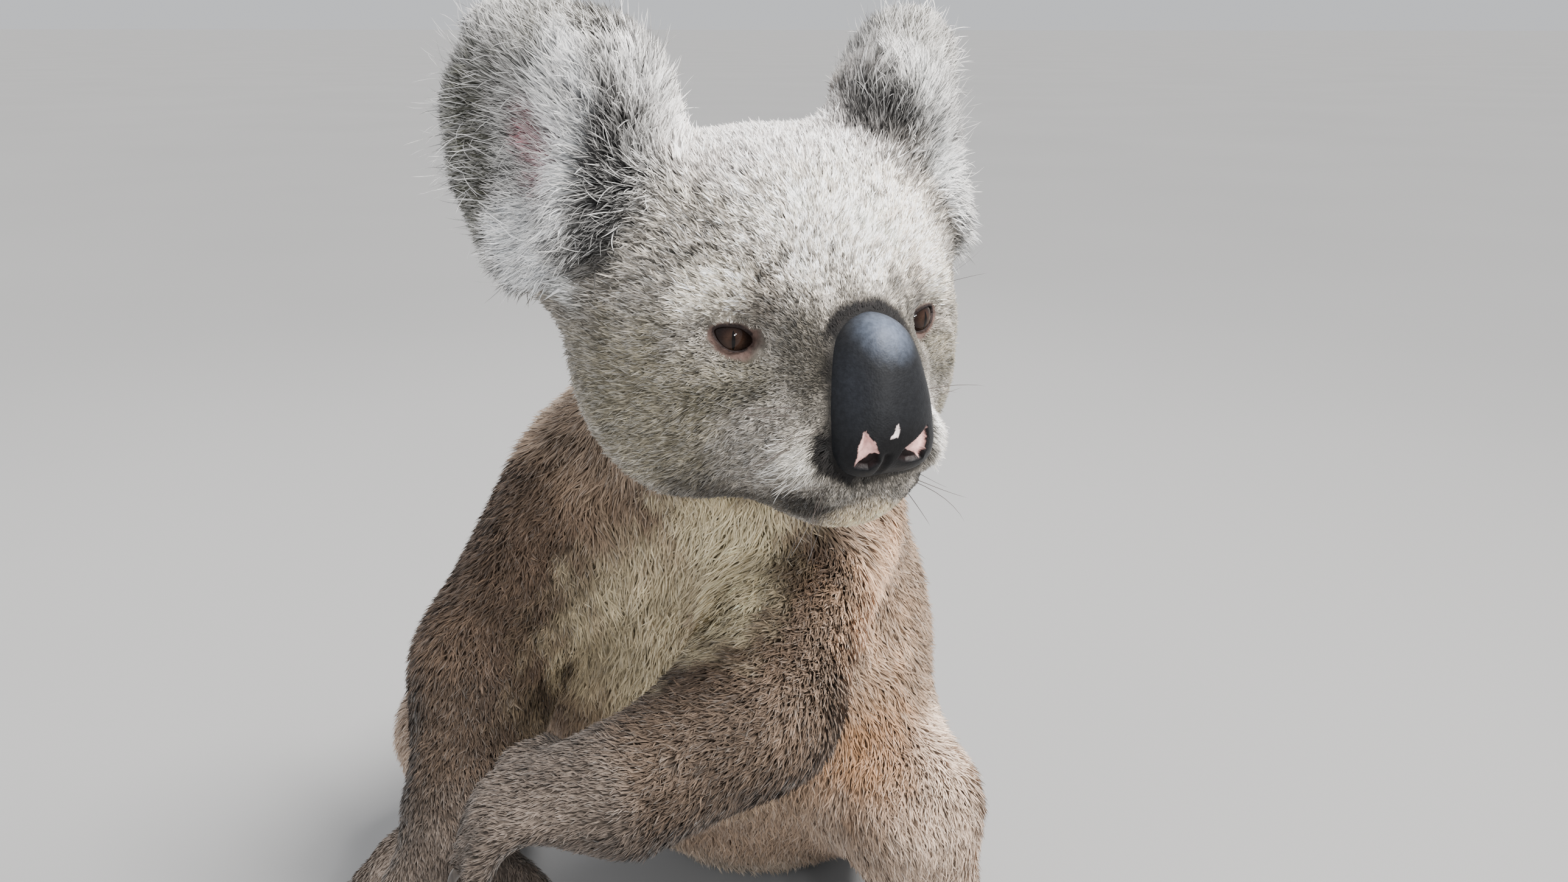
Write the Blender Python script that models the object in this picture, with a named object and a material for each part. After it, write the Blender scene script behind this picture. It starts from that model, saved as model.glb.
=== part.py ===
"""A seated koala at life size, built whole out to the tips of its coat and parted with thin cuts.

Run with: blender --background --python part.py

The body is the blend of named rounded masses and tapered limbs. A voxel remesh of all of them gives a
closed net, each point of which is then moved onto the blended surface. Cuts along planes part that one body
into head, ears, neck, trunk, limbs and tail, and pockets are left for the nose, the eyes and the claws.

The animal faces -Y with its left side at +X, sits on Z = 0, and its head is turned to its left.
"""

from dataclasses import dataclass, field
from math import cos, pi, radians, sin

import bmesh
import bpy
import numpy as np
from mathutils import Euler, Matrix, Vector

# Driving dimensions, metres and degrees.
GAP = 0.0003  # between two pieces that touch
NET_SIZE = 0.0036  # voxel of the net before its points move onto the surface
NOSE_NET_SIZE = 0.0018
NET_PASSES = 6  # how often its points are moved
MOST_MOVE = 0.006  # in one pass
BODY_TRIANGLES = 4400
NOSE_TRIANGLES = 300
SINK = 0.004  # how far the rump and soles reach below the floor before they are cut flat

HEAD_CENTRE = Vector((0.047, -0.055, 0.357))
HEAD_TURN = 41.0  # to its left
HEAD_TILT = 0.0  # nose down
HEAD_ROLL = 1.0
EYE_SPACING = 0.067
EYE_FORWARD = 0.0445  # from the middle of the head
EYE_DROP = 0.006
EYE_RADIUS = 0.0092
EYE_SEGMENTS = 12
EYE_RINGS = 8

HIP = Vector((0.052, 0.092, 0.074))
KNEE = {"left": Vector((0.101, 0.010, 0.098)), "right": Vector((-0.138, 0.028, 0.092))}
ANKLE = {"left": Vector((0.112, 0.018, 0.032)), "right": Vector((-0.146, 0.042, 0.032))}
FOOT_SPLAY = {"left": 10.0, "right": 24.0}  # toes outwards
SHOULDER = Vector((0.052, 0.016, 0.240))
ELBOW = {"left": Vector((0.050, -0.074, 0.192)), "right": Vector((-0.080, -0.046, 0.180))}
WRIST = {"left": Vector((0.014, -0.116, 0.178)), "right": Vector((-0.078, -0.076, 0.138))}
HAND_HEADING = {"left": Vector((-0.92, -0.30, 0.02)), "right": Vector((0.10, -0.80, -0.55))}
CLAW_LENGTH = 0.015
CLAW_RADIUS = 0.0026
CLAW_SIDES = 6
CLAW_STEPS = 3
CLAW_BEND = 0.45  # how much it turns down at each step
CLAW_ROOT = 0.0045  # how far its root lies inside the end of a finger or toe
CLAW_LIFT = 0.001  # of a toe's claw over the middle of the toe
ARM_ROOT = {"left": 0.62, "right": 0.44}  # where it leaves the chest, as a part of the way to the elbow
ARM_ROOT_FACING = {"left": Vector((0.45, -0.87, -0.10)), "right": Vector((-0.60, -0.80, 0.00))}

SIDES = {"left": 1.0, "right": -1.0}
RESTING = ("trunk", "foot_left", "foot_right")

# Colour (linear) and roughness of each kind of part.
LOOKS = {
    "coat": ((0.24, 0.21, 0.18), 0.9),
    "head": ((0.28, 0.25, 0.23), 0.9),
    "ear": ((0.42, 0.42, 0.42), 0.9),
    "neck": ((0.42, 0.36, 0.28), 0.9),
    "nose": ((0.028, 0.030, 0.034), 0.5),
    "eye": ((0.050, 0.026, 0.014), 0.15),
    "claw": ((0.050, 0.040, 0.034), 0.35),
}


@dataclass
class Mass:
    """A rounded mass: an ellipsoid that blends into what was there before it."""

    centre: Vector
    radii: tuple
    turn: Matrix = field(default_factory=lambda: Matrix.Identity(3))
    blend: float = 0.02

    def distance(self, points):
        local = (points - np.array(self.centre)) @ np.array(self.turn)
        radii = np.array(self.radii)
        reach = np.linalg.norm(local / radii, axis=1)
        slope = np.linalg.norm(local / radii**2, axis=1)
        return reach * (reach - 1.0) / np.maximum(slope, 1e-9)

    def add_to(self, mesh):
        place = Matrix.Translation(self.centre) @ self.turn.to_4x4() @ Matrix.Diagonal((*self.radii, 1.0))
        bmesh.ops.create_icosphere(mesh, subdivisions=3, radius=1.0, matrix=place)


@dataclass
class Limb:
    """A tapered limb: a round tube along joints, each with its own radius."""

    joints: list
    radii: list
    blend: float = 0.015

    def bones(self):
        return zip(self.joints, self.joints[1:], self.radii, self.radii[1:])

    def distance(self, points):
        nearest = np.full(len(points), 1e9)
        for start, end, thick, thin in self.bones():
            start, end = np.array(start), np.array(end)
            along = end - start
            part = np.clip((points - start) @ along / (along @ along), 0.0, 1.0)
            away = np.linalg.norm(points - start - part[:, None] * along, axis=1)
            nearest = np.minimum(nearest, away - thick - part * (thin - thick))
        return nearest

    def add_to(self, mesh):
        for start, end, thick, thin in self.bones():
            steps = 1 + int((end - start).length / 0.006)
            for step in range(steps + 1):
                part = step / steps
                place = Matrix.Translation(start.lerp(end, part))
                radius = thick + part * (thin - thick)
                bmesh.ops.create_icosphere(mesh, subdivisions=2, radius=radius, matrix=place)


@dataclass
class Cup(Mass):
    """A hollow pressed into what was there before it."""


def head_turning():
    turn = Euler((radians(HEAD_TILT), radians(HEAD_ROLL), 0.0)).to_matrix()
    return Matrix.Rotation(radians(HEAD_TURN), 3, "Z") @ turn


HEAD_AXES = head_turning()


def on_head(x, y, z):
    """A place given from the middle of the head: x to its left, y to its back, z up."""
    return HEAD_CENTRE + HEAD_AXES @ Vector((x, y, z))


def head_mass(centre, radii, blend=0.02, pitch=0.0, yaw=0.0, roll=0.0):
    turn = HEAD_AXES @ Euler((radians(pitch), radians(roll), radians(yaw))).to_matrix()
    return Mass(on_head(*centre), radii, turn, blend)


def head_shapes():
    shapes = [
        head_mass((0, 0.014, 0.000), (0.061, 0.064, 0.054)),
        head_mass((0, -0.026, 0.002), (0.053, 0.040, 0.048), 0.03),
        head_mass((0, -0.054, -0.032), (0.029, 0.034, 0.034), 0.024),
        head_mass((0, -0.056, -0.058), (0.022, 0.026, 0.014), 0.014),
    ]
    for side in SIDES.values():
        shapes.append(head_mass((side * 0.0345, -0.008, -0.030), (0.0335, 0.044, 0.042), 0.024))
        shapes.append(head_mass((side * 0.016, -0.064, -0.043), (0.016, 0.019, 0.014), 0.012))
    return shapes


def head_cup(side):
    """The socket round an eye."""
    turn = HEAD_AXES @ Matrix.Rotation(radians(side * 22), 3, "Z")
    return Cup(on_head(side * 0.037, -0.0625, -0.006), (0.0125, 0.0115, 0.0085), turn, 0.006)


def nose_shapes():
    shapes = [
        head_mass((0.001, -0.076, -0.013), (0.0150, 0.0145, 0.0165), 0.01, pitch=-8),
        head_mass((0.001, -0.082, -0.030), (0.0175, 0.0135, 0.0160), 0.012),
    ]
    for side in SIDES.values():
        shapes.append(head_mass((0.001 + side * 0.0085, -0.083, -0.0375), (0.0090, 0.0105, 0.0080), 0.005))
    return shapes


@dataclass
class Ear:
    """One ear: a thick furred disc, hollowed on the side it opens to."""

    side: float
    opening: float  # degrees from straight ahead, outwards
    lean: float  # degrees outwards from upright
    height: float = 0.104
    width: float = 0.086
    depth: float = 0.050
    crest: tuple = (-0.022, -0.006, 0.020)  # the tuft on its inner side: across, back, up
    root: tuple = (0.060, 0.010, 0.040)

    def axes(self):
        turn = Matrix.Rotation(radians(self.side * self.opening), 3, "Z")
        return HEAD_AXES @ turn @ Matrix.Rotation(radians(self.side * self.lean), 3, "Y")

    def place(self, across, back, up):
        root = on_head(self.side * self.root[0], self.root[1], self.root[2])
        return root + self.axes() @ Vector((self.side * across, back, up))

    def shapes(self):
        axes = self.axes()
        half = (self.width / 2, self.depth / 2, self.height / 2)
        disc = Mass(self.place(0.014, 0.0, 0.012), half, axes, 0.02)
        lobe = Mass(self.place(-0.006, -0.004, -0.018), (0.026, 0.022, 0.034), axes, 0.02)
        crest = Mass(self.place(*self.crest), (0.020, 0.018, 0.020), axes, 0.02)
        hollow = self.place(0.018, -0.66 * self.depth, 0.010)
        cup = Cup(hollow, (self.width * 0.28, self.depth * 0.50, self.height * 0.30), axes, 0.016)
        return [disc, lobe, crest], [cup]


EARS = {
    "left": Ear(1.0, 48.0, 18.0, 0.096, 0.080, crest=(-0.036, -0.004, 0.010)),
    "right": Ear(-1.0, 58.0, 26.0, 0.103, 0.083),
}


def mirrored(place, side):
    return Vector((side * place.x, place.y, place.z))


def trunk_shapes():
    return [
        Mass(Vector((0, 0.096, 0.078)), (0.096, 0.080, 0.078 + SINK)),
        Mass(Vector((0, 0.056, 0.144)), (0.106, 0.090, 0.088), blend=0.03),
        Mass(Vector((0, 0.056, 0.196)), (0.090, 0.078, 0.080), blend=0.04),
        Mass(Vector((0, 0.050, 0.252)), (0.072, 0.064, 0.054), blend=0.04),
        Limb([Vector((0, 0.044, 0.264)), on_head(0, 0.024, -0.022)], [0.062, 0.058], 0.03),
    ]


def tail_shape():
    return Mass(Vector((0, 0.176, 0.050)), (0.017, 0.019, 0.014), blend=0.012)


# Each toe from the big one outwards: how far its tip is across and ahead of the ankle, and its radius.
TOES = [
    (-0.026, 0.026, 0.0095),
    (-0.008, 0.060, 0.0082),
    (0.002, 0.066, 0.0082),
    (0.013, 0.066, 0.0088),
    (0.024, 0.056, 0.0088),
]


def foot_place(name, across, forward, height):
    """A place given from the ankle: across to the outer side, forward to the toes, and its height."""
    turn = Matrix.Rotation(radians(SIDES[name] * FOOT_SPLAY[name]), 3, "Z")
    place = ANKLE[name] + turn @ Vector((SIDES[name] * across, -forward, 0.0))
    place.z = height
    return place


def toe_ends(name):
    ends = []
    for across, forward, radius in TOES:
        start = foot_place(name, across * 0.5, forward * 0.35, 0.016)
        tip = foot_place(name, across, forward, radius - 0.0015)
        ends.append((start, tip, radius))
    return ends


def leg_shapes(name):
    hip, knee, ankle = mirrored(HIP, SIDES[name]), KNEE[name], ANKLE[name]
    sole = [foot_place(name, 0, -0.014, 0.019), foot_place(name, 0.004, 0.040, 0.016)]
    shapes = [
        Limb([hip, knee], [0.050, 0.036], 0.03),
        Limb([knee, ankle], [0.034, 0.027], 0.012),
        Limb(sole, [0.023, 0.022], 0.012),
    ]
    for start, tip, radius in toe_ends(name):
        shapes.append(Limb([start, tip], [radius + 0.002, radius], 0.005))
    return shapes


# Each finger: its spread from straight ahead towards the thumb side in degrees, how far aside of the palm's
# middle it starts, and its length.
FINGERS = [
    (72, 0.014, 0.034),
    (34, 0.012, 0.040),
    (4, 0.004, 0.044),
    (-10, -0.005, 0.044),
    (-26, -0.013, 0.038),
]
FINGER_RADIUS = 0.0080
FINGER_CURL = 62.0


@dataclass
class Hand:
    """A gripping hand: a palm, two digits that face the other three, each bent once."""

    side: str

    def axes(self):
        """Ahead, towards the thumb side, and out of the back of the hand."""
        ahead = HAND_HEADING[self.side].normalized()
        thumb = Vector((0, 0, -SIDES[self.side])).cross(ahead).normalized()
        return ahead, thumb, thumb.cross(ahead) * SIDES[self.side]

    def palm(self):
        ahead, _, back = self.axes()
        return WRIST[self.side] + ahead * 0.024 - back * 0.002

    def fingers(self):
        ahead, thumb, back = self.axes()
        joints = []
        for spread, aside, length in FINGERS:
            heading = ahead * cos(radians(spread)) + thumb * sin(radians(spread))
            start = self.palm() + thumb * aside + ahead * 0.006
            middle = start + heading * length * 0.5
            curled = heading * cos(radians(FINGER_CURL)) - back * sin(radians(FINGER_CURL))
            joints.append((start, middle, middle + curled * length * 0.5))
        return joints

    def shapes(self):
        ahead, thumb, back = self.axes()
        turn = Matrix((thumb, ahead, back)).transposed()
        shapes = [Mass(self.palm(), (0.024, 0.026, 0.016), turn, 0.014)]
        for start, middle, tip in self.fingers():
            radii = [FINGER_RADIUS + 0.001, FINGER_RADIUS, FINGER_RADIUS - 0.001]
            shapes.append(Limb([start, middle, tip], radii, 0.004))
        return shapes


def arm_shapes(side):
    shoulder = mirrored(SHOULDER, SIDES[side])
    upper = Limb([shoulder, ELBOW[side]], [0.044, 0.034], 0.02)
    fore = Limb([ELBOW[side], WRIST[side]], [0.034, 0.027], 0.012)
    return [upper, fore] + Hand(side).shapes()


def body_shapes():
    shapes = trunk_shapes() + [tail_shape()] + head_shapes()
    for name in SIDES:
        shapes += leg_shapes(name) + arm_shapes(name)
    cups = [head_cup(side) for side in SIDES.values()]
    for ear in EARS.values():
        solid, hollow = ear.shapes()
        shapes += solid
        cups += hollow
    return shapes, cups


def blended(near, far, blend):
    """The smooth union of two distances."""
    mix = np.clip(0.5 + 0.5 * (far - near) / blend, 0.0, 1.0)
    return far * (1.0 - mix) + near * mix - blend * mix * (1.0 - mix)


def body_distance(points, shapes, cups):
    total = shapes[0].distance(points)
    for shape in shapes[1:]:
        total = blended(total, shape.distance(points), shape.blend)
    for cup in cups:
        total = -blended(-total, cup.distance(points), cup.blend)
    return total


def slope_of(points, shapes, cups, step=0.0004):
    slope = np.empty_like(points)
    for axis in range(3):
        offset = np.zeros(3)
        offset[axis] = step
        ahead = body_distance(points + offset, shapes, cups)
        behind = body_distance(points - offset, shapes, cups)
        slope[:, axis] = (ahead - behind) / (2.0 * step)
    return slope


def add_object(name, mesh):
    made = bpy.data.objects.new(name, mesh)
    bpy.context.scene.collection.objects.link(made)
    return made


def baked_mesh(source):
    """The mesh of an object with its modifiers applied; the object goes."""
    graph = bpy.context.evaluated_depsgraph_get()
    mesh = bpy.data.meshes.new_from_object(source.evaluated_get(graph))
    bpy.data.objects.remove(source)
    return mesh


def blended_solid(name, shapes, cups, net_size, triangles):
    """One closed body: a net round the shapes, its points moved onto their blended surface, then thinned."""
    builder = bmesh.new()
    for shape in shapes:
        shape.add_to(builder)
    mesh = bpy.data.meshes.new(name)
    builder.to_mesh(mesh)
    builder.free()
    net = add_object(name, mesh)
    remesh = net.modifiers.new("net", "REMESH")
    remesh.mode = "VOXEL"
    remesh.voxel_size = net_size
    mesh = baked_mesh(net)
    points = np.empty(len(mesh.vertices) * 3)
    mesh.vertices.foreach_get("co", points)
    points = points.reshape(-1, 3)
    for _ in range(NET_PASSES):
        slope = slope_of(points, shapes, cups)
        steep = np.maximum((slope**2).sum(1), 0.25)
        move = np.clip(body_distance(points, shapes, cups) / steep, -MOST_MOVE, MOST_MOVE)
        points -= slope * move[:, None]
    mesh.vertices.foreach_set("co", points.ravel())
    mesh.calc_loop_triangles()
    net = add_object(name, mesh)
    thin = net.modifiers.new("thin", "DECIMATE")
    thin.ratio = min(1.0, triangles / len(mesh.loop_triangles))
    return add_object(name, baked_mesh(net))


def eye_place(side):
    return on_head(side * EYE_SPACING / 2, -EYE_FORWARD, -EYE_DROP)


def add_eye(name, side):
    """An eyeball, its poles fore and aft."""
    builder = bmesh.new()
    place = Matrix.Translation(eye_place(side)) @ HEAD_AXES.to_4x4() @ Matrix.Rotation(pi / 2, 4, "X")
    bmesh.ops.create_uvsphere(
        builder, u_segments=EYE_SEGMENTS, v_segments=EYE_RINGS, radius=EYE_RADIUS, matrix=place
    )
    return finished(name, builder)


def finished(name, builder):
    mesh = bpy.data.meshes.new(name)
    builder.to_mesh(mesh)
    builder.free()
    return add_object(name, mesh)


def add_claw(name, root, heading, droop):
    """A curved claw: rings that shrink along an arc, closed to a point."""
    builder = bmesh.new()
    rings = []
    place, way = Vector(root), heading.normalized()
    aside = way.cross(droop).normalized()
    for step in range(CLAW_STEPS):
        part = step / CLAW_STEPS
        radius = CLAW_RADIUS * (1.0 - part**1.6)
        upward = aside.cross(way)
        ring = []
        for corner in range(CLAW_SIDES):
            angle = 2 * pi * corner / CLAW_SIDES
            ring.append(builder.verts.new(place + radius * (cos(angle) * aside + sin(angle) * upward)))
        rings.append(ring)
        place = place + way * CLAW_LENGTH / CLAW_STEPS
        way = (way + droop * CLAW_BEND).normalized()
    tip = builder.verts.new(place)
    for near, far in zip(rings, rings[1:]):
        for corner in range(CLAW_SIDES):
            after = (corner + 1) % CLAW_SIDES
            builder.faces.new((near[corner], near[after], far[after], far[corner]))
    for corner in range(CLAW_SIDES):
        builder.faces.new((rings[-1][corner], rings[-1][(corner + 1) % CLAW_SIDES], tip))
    builder.faces.new(rings[0][::-1])
    bmesh.ops.recalc_face_normals(builder, faces=builder.faces)
    return finished(name, builder)


def hand_claws(name):
    """One claw on each finger."""
    back = Hand(name).axes()[2]
    claws = []
    for number, (_, middle, tip) in enumerate(Hand(name).fingers(), 1):
        heading = (tip - middle).normalized()
        droop = -heading.cross(back).cross(heading).normalized()
        root = tip + heading * (FINGER_RADIUS - CLAW_ROOT)
        claws.append(add_claw(f"claw_hand_{name}_{number}", root, heading + 0.3 * back, droop))
    return claws


def foot_claws(name):
    """One claw on each toe but the big one, which has none."""
    claws = []
    for number, (start, tip, radius) in enumerate(toe_ends(name)[1:], 2):
        heading = ((tip - start) * Vector((1, 1, 0))).normalized()
        root = tip + heading * (radius - CLAW_ROOT) + Vector((0, 0, CLAW_LIFT))
        rising = heading + Vector((0, 0, 0.1))
        claws.append(add_claw(f"claw_foot_{name}_{number}", root, rising, Vector((0, 0, -1))))
    return claws


@dataclass
class Cut:
    """Where one part of the body ends and the next starts: a plane, marked within reach of its centre."""

    part: str  # beyond the plane
    source: str  # that it is taken from
    centre: Vector
    facing: Vector
    reach: float

    def from_centre(self, face):
        return face.calc_center_median() - self.centre

    def seam(self, builder):
        """Marks the plane on the body, and gives the marked edges."""
        near = [face for face in builder.faces if self.from_centre(face).length < self.reach]
        edges = {edge for face in near for edge in face.edges}
        verts = {vert for face in near for vert in face.verts}
        geometry = [*verts, *edges, *near]
        marked = bmesh.ops.bisect_plane(
            builder, geom=geometry, dist=1e-6, plane_co=self.centre, plane_no=self.facing
        )
        return {item for item in marked["geom_cut"] if isinstance(item, bmesh.types.BMEdge)}

    def beyond(self, builder):
        """The faces that lie beyond the plane, spreading from the seam nearest to its centre."""
        seam = self.seam(builder)
        first = min(seam, key=lambda edge: (edge.verts[0].co - self.centre).length)
        ahead = max(first.link_faces, key=lambda face: self.from_centre(face) @ self.facing)
        found, seen = [ahead], {ahead}
        for face in found:
            for edge in face.edges:
                if edge in seam:
                    continue
                for other in edge.link_faces:
                    if other not in seen:
                        seen.add(other)
                        found.append(other)
        return found

    def take(self, builder):
        """Takes the part beyond the plane off its source, as a body of its own."""
        normal = self.facing.normalized()
        found = self.beyond(builder)
        piece = bmesh.new()
        twin = {}
        for face in found:
            for vert in face.verts:
                if vert not in twin:
                    twin[vert] = piece.verts.new(vert.co)
            piece.faces.new([twin[vert] for vert in face.verts])
        bmesh.ops.delete(builder, geom=found, context="FACES")
        close(piece, normal * GAP / 2)
        close(builder, -normal * GAP / 2)
        return piece


def close(builder, shift):
    """Fills the open rims of a mesh, and moves them by shift."""
    rim = [edge for edge in builder.edges if edge.is_boundary]
    for vert in {vert for edge in rim for vert in edge.verts}:
        vert.co += shift
    bmesh.ops.holes_fill(builder, edges=rim)
    bmesh.ops.recalc_face_normals(builder, faces=builder.faces)
    if builder.calc_volume(signed=True) < 0:
        bmesh.ops.reverse_faces(builder, faces=builder.faces)


def limb_cuts(name):
    side = SIDES[name]
    shoulder, elbow, wrist = mirrored(SHOULDER, side), ELBOW[name], WRIST[name]
    fore = (wrist - elbow).normalized()
    hip, knee, ankle = mirrored(HIP, side), KNEE[name], ANKLE[name]
    shin = (ankle - knee).normalized()
    outward = HEAD_AXES @ Vector((side * 0.74, 0.04, 0.67))
    arm, leg = "upper_arm_" + name, "leg_" + name
    return [
        Cut(arm, "trunk", shoulder.lerp(elbow, ARM_ROOT[name]), ARM_ROOT_FACING[name], 0.100),
        Cut("forearm_" + name, arm, elbow + 0.014 * fore, fore + Vector((0, -0.2, 0.2)), 0.060),
        Cut("hand_" + name, "forearm_" + name, wrist + 0.004 * fore, fore + Hand(name).axes()[0], 0.050),
        Cut(leg, "trunk", hip.lerp(knee, 0.76), Vector((side * 0.7, -0.7, -0.36)), 0.080),
        Cut("foot_" + name, leg, ankle + Vector((0, 0, 0.010)), shin + Vector((0, -0.2, 0)), 0.080),
        Cut("ear_" + name, "head", HEAD_CENTRE + outward * 0.060, outward, 0.080),
    ]


def all_cuts():
    """The cuts in the order they are made."""
    neck = HEAD_CENTRE - Vector((0, 0.044, 0.264))
    return [
        Cut("head", "trunk", on_head(0, 0.036, -0.040), neck, 0.095),
        *limb_cuts("left"),
        *limb_cuts("right"),
        Cut("neck", "trunk", Vector((0.004, 0.028, 0.272)), Vector((0.06, -0.18, 0.98)), 0.115),
        Cut("tail", "trunk", Vector((0, 0.1755, 0.050)), Vector((0, 1, -0.1)), 0.030),
    ]


def set_down(builder):
    """Cuts the body flat where it rests on the floor."""
    geometry = [*builder.verts, *builder.edges, *builder.faces]
    up = Vector((0, 0, 1))
    bmesh.ops.bisect_plane(
        builder, geom=geometry, dist=1e-6, plane_co=Vector(), plane_no=up, clear_inner=True
    )
    close(builder, Vector())


def grown(piece):
    """A copy of a piece, a gap wider all round."""
    builder = bmesh.new()
    builder.from_mesh(piece.data)
    builder.normal_update()
    for vert in builder.verts:
        vert.co += vert.normal * vert.calc_shell_factor() * GAP
    return finished("pocket", builder)


def with_pocket(part, piece):
    """The part with a pocket for a piece that sits in it."""
    name, pocket = part.name, grown(piece)
    less = part.modifiers.new("less", "BOOLEAN")
    less.operation = "DIFFERENCE"
    less.object = pocket
    mesh = baked_mesh(part)
    bpy.data.objects.remove(pocket)
    return add_object(name, mesh)


def body_parts():
    """The body in its parts, each an object."""
    shapes, cups = body_shapes()
    whole = blended_solid("whole", shapes, cups, NET_SIZE, BODY_TRIANGLES)
    builder = bmesh.new()
    builder.from_mesh(whole.data)
    bpy.data.objects.remove(whole)
    builders = {"trunk": builder}
    for cut in all_cuts():
        builders[cut.part] = cut.take(builders[cut.source])
    for name in RESTING:
        set_down(builders[name])
    return {name: finished(name, builder) for name, builder in builders.items()}


def set_in_pieces():
    """Each piece that sits in a pocket of the body, after the part that it sits in."""
    pieces = [("head", blended_solid("nose", nose_shapes(), [], NOSE_NET_SIZE, NOSE_TRIANGLES))]
    for name, side in SIDES.items():
        pieces.append(("head", add_eye("eye_" + name, side)))
        pieces += [("hand_" + name, claw) for claw in hand_claws(name)]
        pieces += [("foot_" + name, claw) for claw in foot_claws(name)]
    return pieces


def to_middle(objects):
    """Moves the whole animal so that its box stands on the middle of the floor."""
    points = [vert.co for item in objects for vert in item.data.vertices]
    middle = Vector((0, 0, 0))
    for axis in (0, 1):
        reach = [point[axis] for point in points]
        middle[axis] = (min(reach) + max(reach)) / 2
    for item in objects:
        item.data.transform(Matrix.Translation(-middle))


def give_look(item):
    kind = item.name.split("_")[0]
    colour, roughness = LOOKS.get(kind, LOOKS["coat"])
    material = bpy.data.materials.new(item.name)
    material.use_nodes = True
    shader = material.node_tree.nodes["Principled BSDF"]
    shader.inputs["Base Color"].default_value = (*colour, 1.0)
    shader.inputs["Roughness"].default_value = roughness
    item.data.materials.clear()
    item.data.materials.append(material)


def main():
    for old in list(bpy.data.objects):
        bpy.data.objects.remove(old)
    parts = body_parts()
    pieces = set_in_pieces()
    for part, piece in pieces:
        parts[part] = with_pocket(parts[part], piece)
    made = [*parts.values(), *(piece for _, piece in pieces)]
    to_middle(made)
    for item in made:
        give_look(item)


if __name__ == "__main__":
    main()
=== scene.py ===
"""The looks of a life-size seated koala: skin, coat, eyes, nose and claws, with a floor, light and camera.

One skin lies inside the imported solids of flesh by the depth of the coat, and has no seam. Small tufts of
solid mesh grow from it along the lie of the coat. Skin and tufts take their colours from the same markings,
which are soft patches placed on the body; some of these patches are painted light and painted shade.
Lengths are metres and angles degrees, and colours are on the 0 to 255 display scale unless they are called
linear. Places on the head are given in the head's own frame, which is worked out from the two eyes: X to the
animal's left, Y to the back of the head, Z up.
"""

from __future__ import annotations

import logging
from collections.abc import Callable, Iterable, Sequence
from dataclasses import dataclass, field, replace
from enum import Enum
from functools import reduce
from math import cos, pi, radians, sin

import bmesh
import bpy
import numpy as np
from mathutils import Matrix, Vector
from mathutils.bvhtree import BVHTree

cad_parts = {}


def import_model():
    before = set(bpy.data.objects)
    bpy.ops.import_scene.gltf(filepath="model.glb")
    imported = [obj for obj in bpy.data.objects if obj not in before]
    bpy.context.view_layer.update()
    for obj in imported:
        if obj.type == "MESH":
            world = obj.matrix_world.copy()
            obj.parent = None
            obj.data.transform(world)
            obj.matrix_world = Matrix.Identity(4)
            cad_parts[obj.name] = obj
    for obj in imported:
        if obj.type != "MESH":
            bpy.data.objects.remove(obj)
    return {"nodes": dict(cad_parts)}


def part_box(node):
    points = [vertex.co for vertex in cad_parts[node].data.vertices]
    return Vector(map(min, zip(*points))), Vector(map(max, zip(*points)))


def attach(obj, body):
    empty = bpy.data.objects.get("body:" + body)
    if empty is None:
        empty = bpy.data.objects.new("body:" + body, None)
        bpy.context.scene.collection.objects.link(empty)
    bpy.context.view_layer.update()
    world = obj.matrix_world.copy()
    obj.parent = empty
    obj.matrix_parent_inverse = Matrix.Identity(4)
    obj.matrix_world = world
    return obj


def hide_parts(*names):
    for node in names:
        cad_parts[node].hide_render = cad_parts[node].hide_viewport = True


LOG = logging.getLogger("koala")
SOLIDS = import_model()["nodes"]
BODY = "root"
BAKE_MAP = "OFBake"
SIDES = {"left": 1.0, "right": -1.0}
OTHER_SIDE = {"left": "right", "right": "left"}
FLOOR_CLEARANCE = 0.0006
DEGREE = radians(1.0)
SQUARE_CENTIMETRES = 1e4  # In a square metre.

# How far from the head's middle its short face coat goes, and how far its creases go.
FACE_REACH = 0.11
HEAD_REACH = 0.12
# How far round the nose the distance from it is worked out.
NOSE_REACH = 0.015

Array = np.ndarray
Triple = tuple[float, float, float]
Pair = tuple[float, float]
Piece = bpy.types.Object
Mesh = bpy.types.Mesh
Material = bpy.types.Material
Node = bpy.types.Node
Socket = bpy.types.NodeSocket
Net = bmesh.types.BMesh


def linear(red: float, green: float, blue: float) -> Array:
    """Turns a colour on the 0 to 255 display scale into three linear values from 0 to 1."""
    shown = np.array([red, green, blue]) / 255.0
    return np.where(shown <= 0.04045, shown / 12.92, ((shown + 0.055) / 1.055) ** 2.4)


def unit(vectors: Array) -> Array:
    """Scales each vector of a list to length 1."""
    return vectors / np.maximum(np.linalg.norm(vectors, axis=-1, keepdims=True), 1e-12)


def ease(start: float, end: float, values: Array) -> Array:
    """Rises smoothly from 0 at start to 1 at end, which may be the smaller of the two, for each value."""
    part = np.clip((values - start) / (end - start), 0.0, 1.0)
    return part * part * (3.0 - 2.0 * part)


def path_distance(points: Array, path: Array) -> Array:
    """Measures how far points lie from a path of straight stretches.

    Args:
        points: The points.
        path: The path's corners.

    Returns:
        A distance for each point.
    """
    nearest = np.full(len(points), np.inf)
    for start, end in zip(path, path[1:]):
        along = end - start
        part = np.clip((points - start) @ along / (along @ along), 0.0, 1.0)
        nearest = np.minimum(nearest, np.linalg.norm(points - start - part[:, None] * along, axis=1))
    return nearest


def far_out(places: Array, middle: Triple, reach: Triple) -> Array:
    """How far out places lie in a rounded region: 0 in its middle, 1 at its reach."""
    return np.linalg.norm((places - np.array(middle)) / np.array(reach), axis=1)


def mixed(colours: Array, tone: Array, share: Array) -> Array:
    """Lays a tone over colours, by a share for each of them."""
    return colours * (1 - share[:, None]) + tone * share[:, None]


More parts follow.
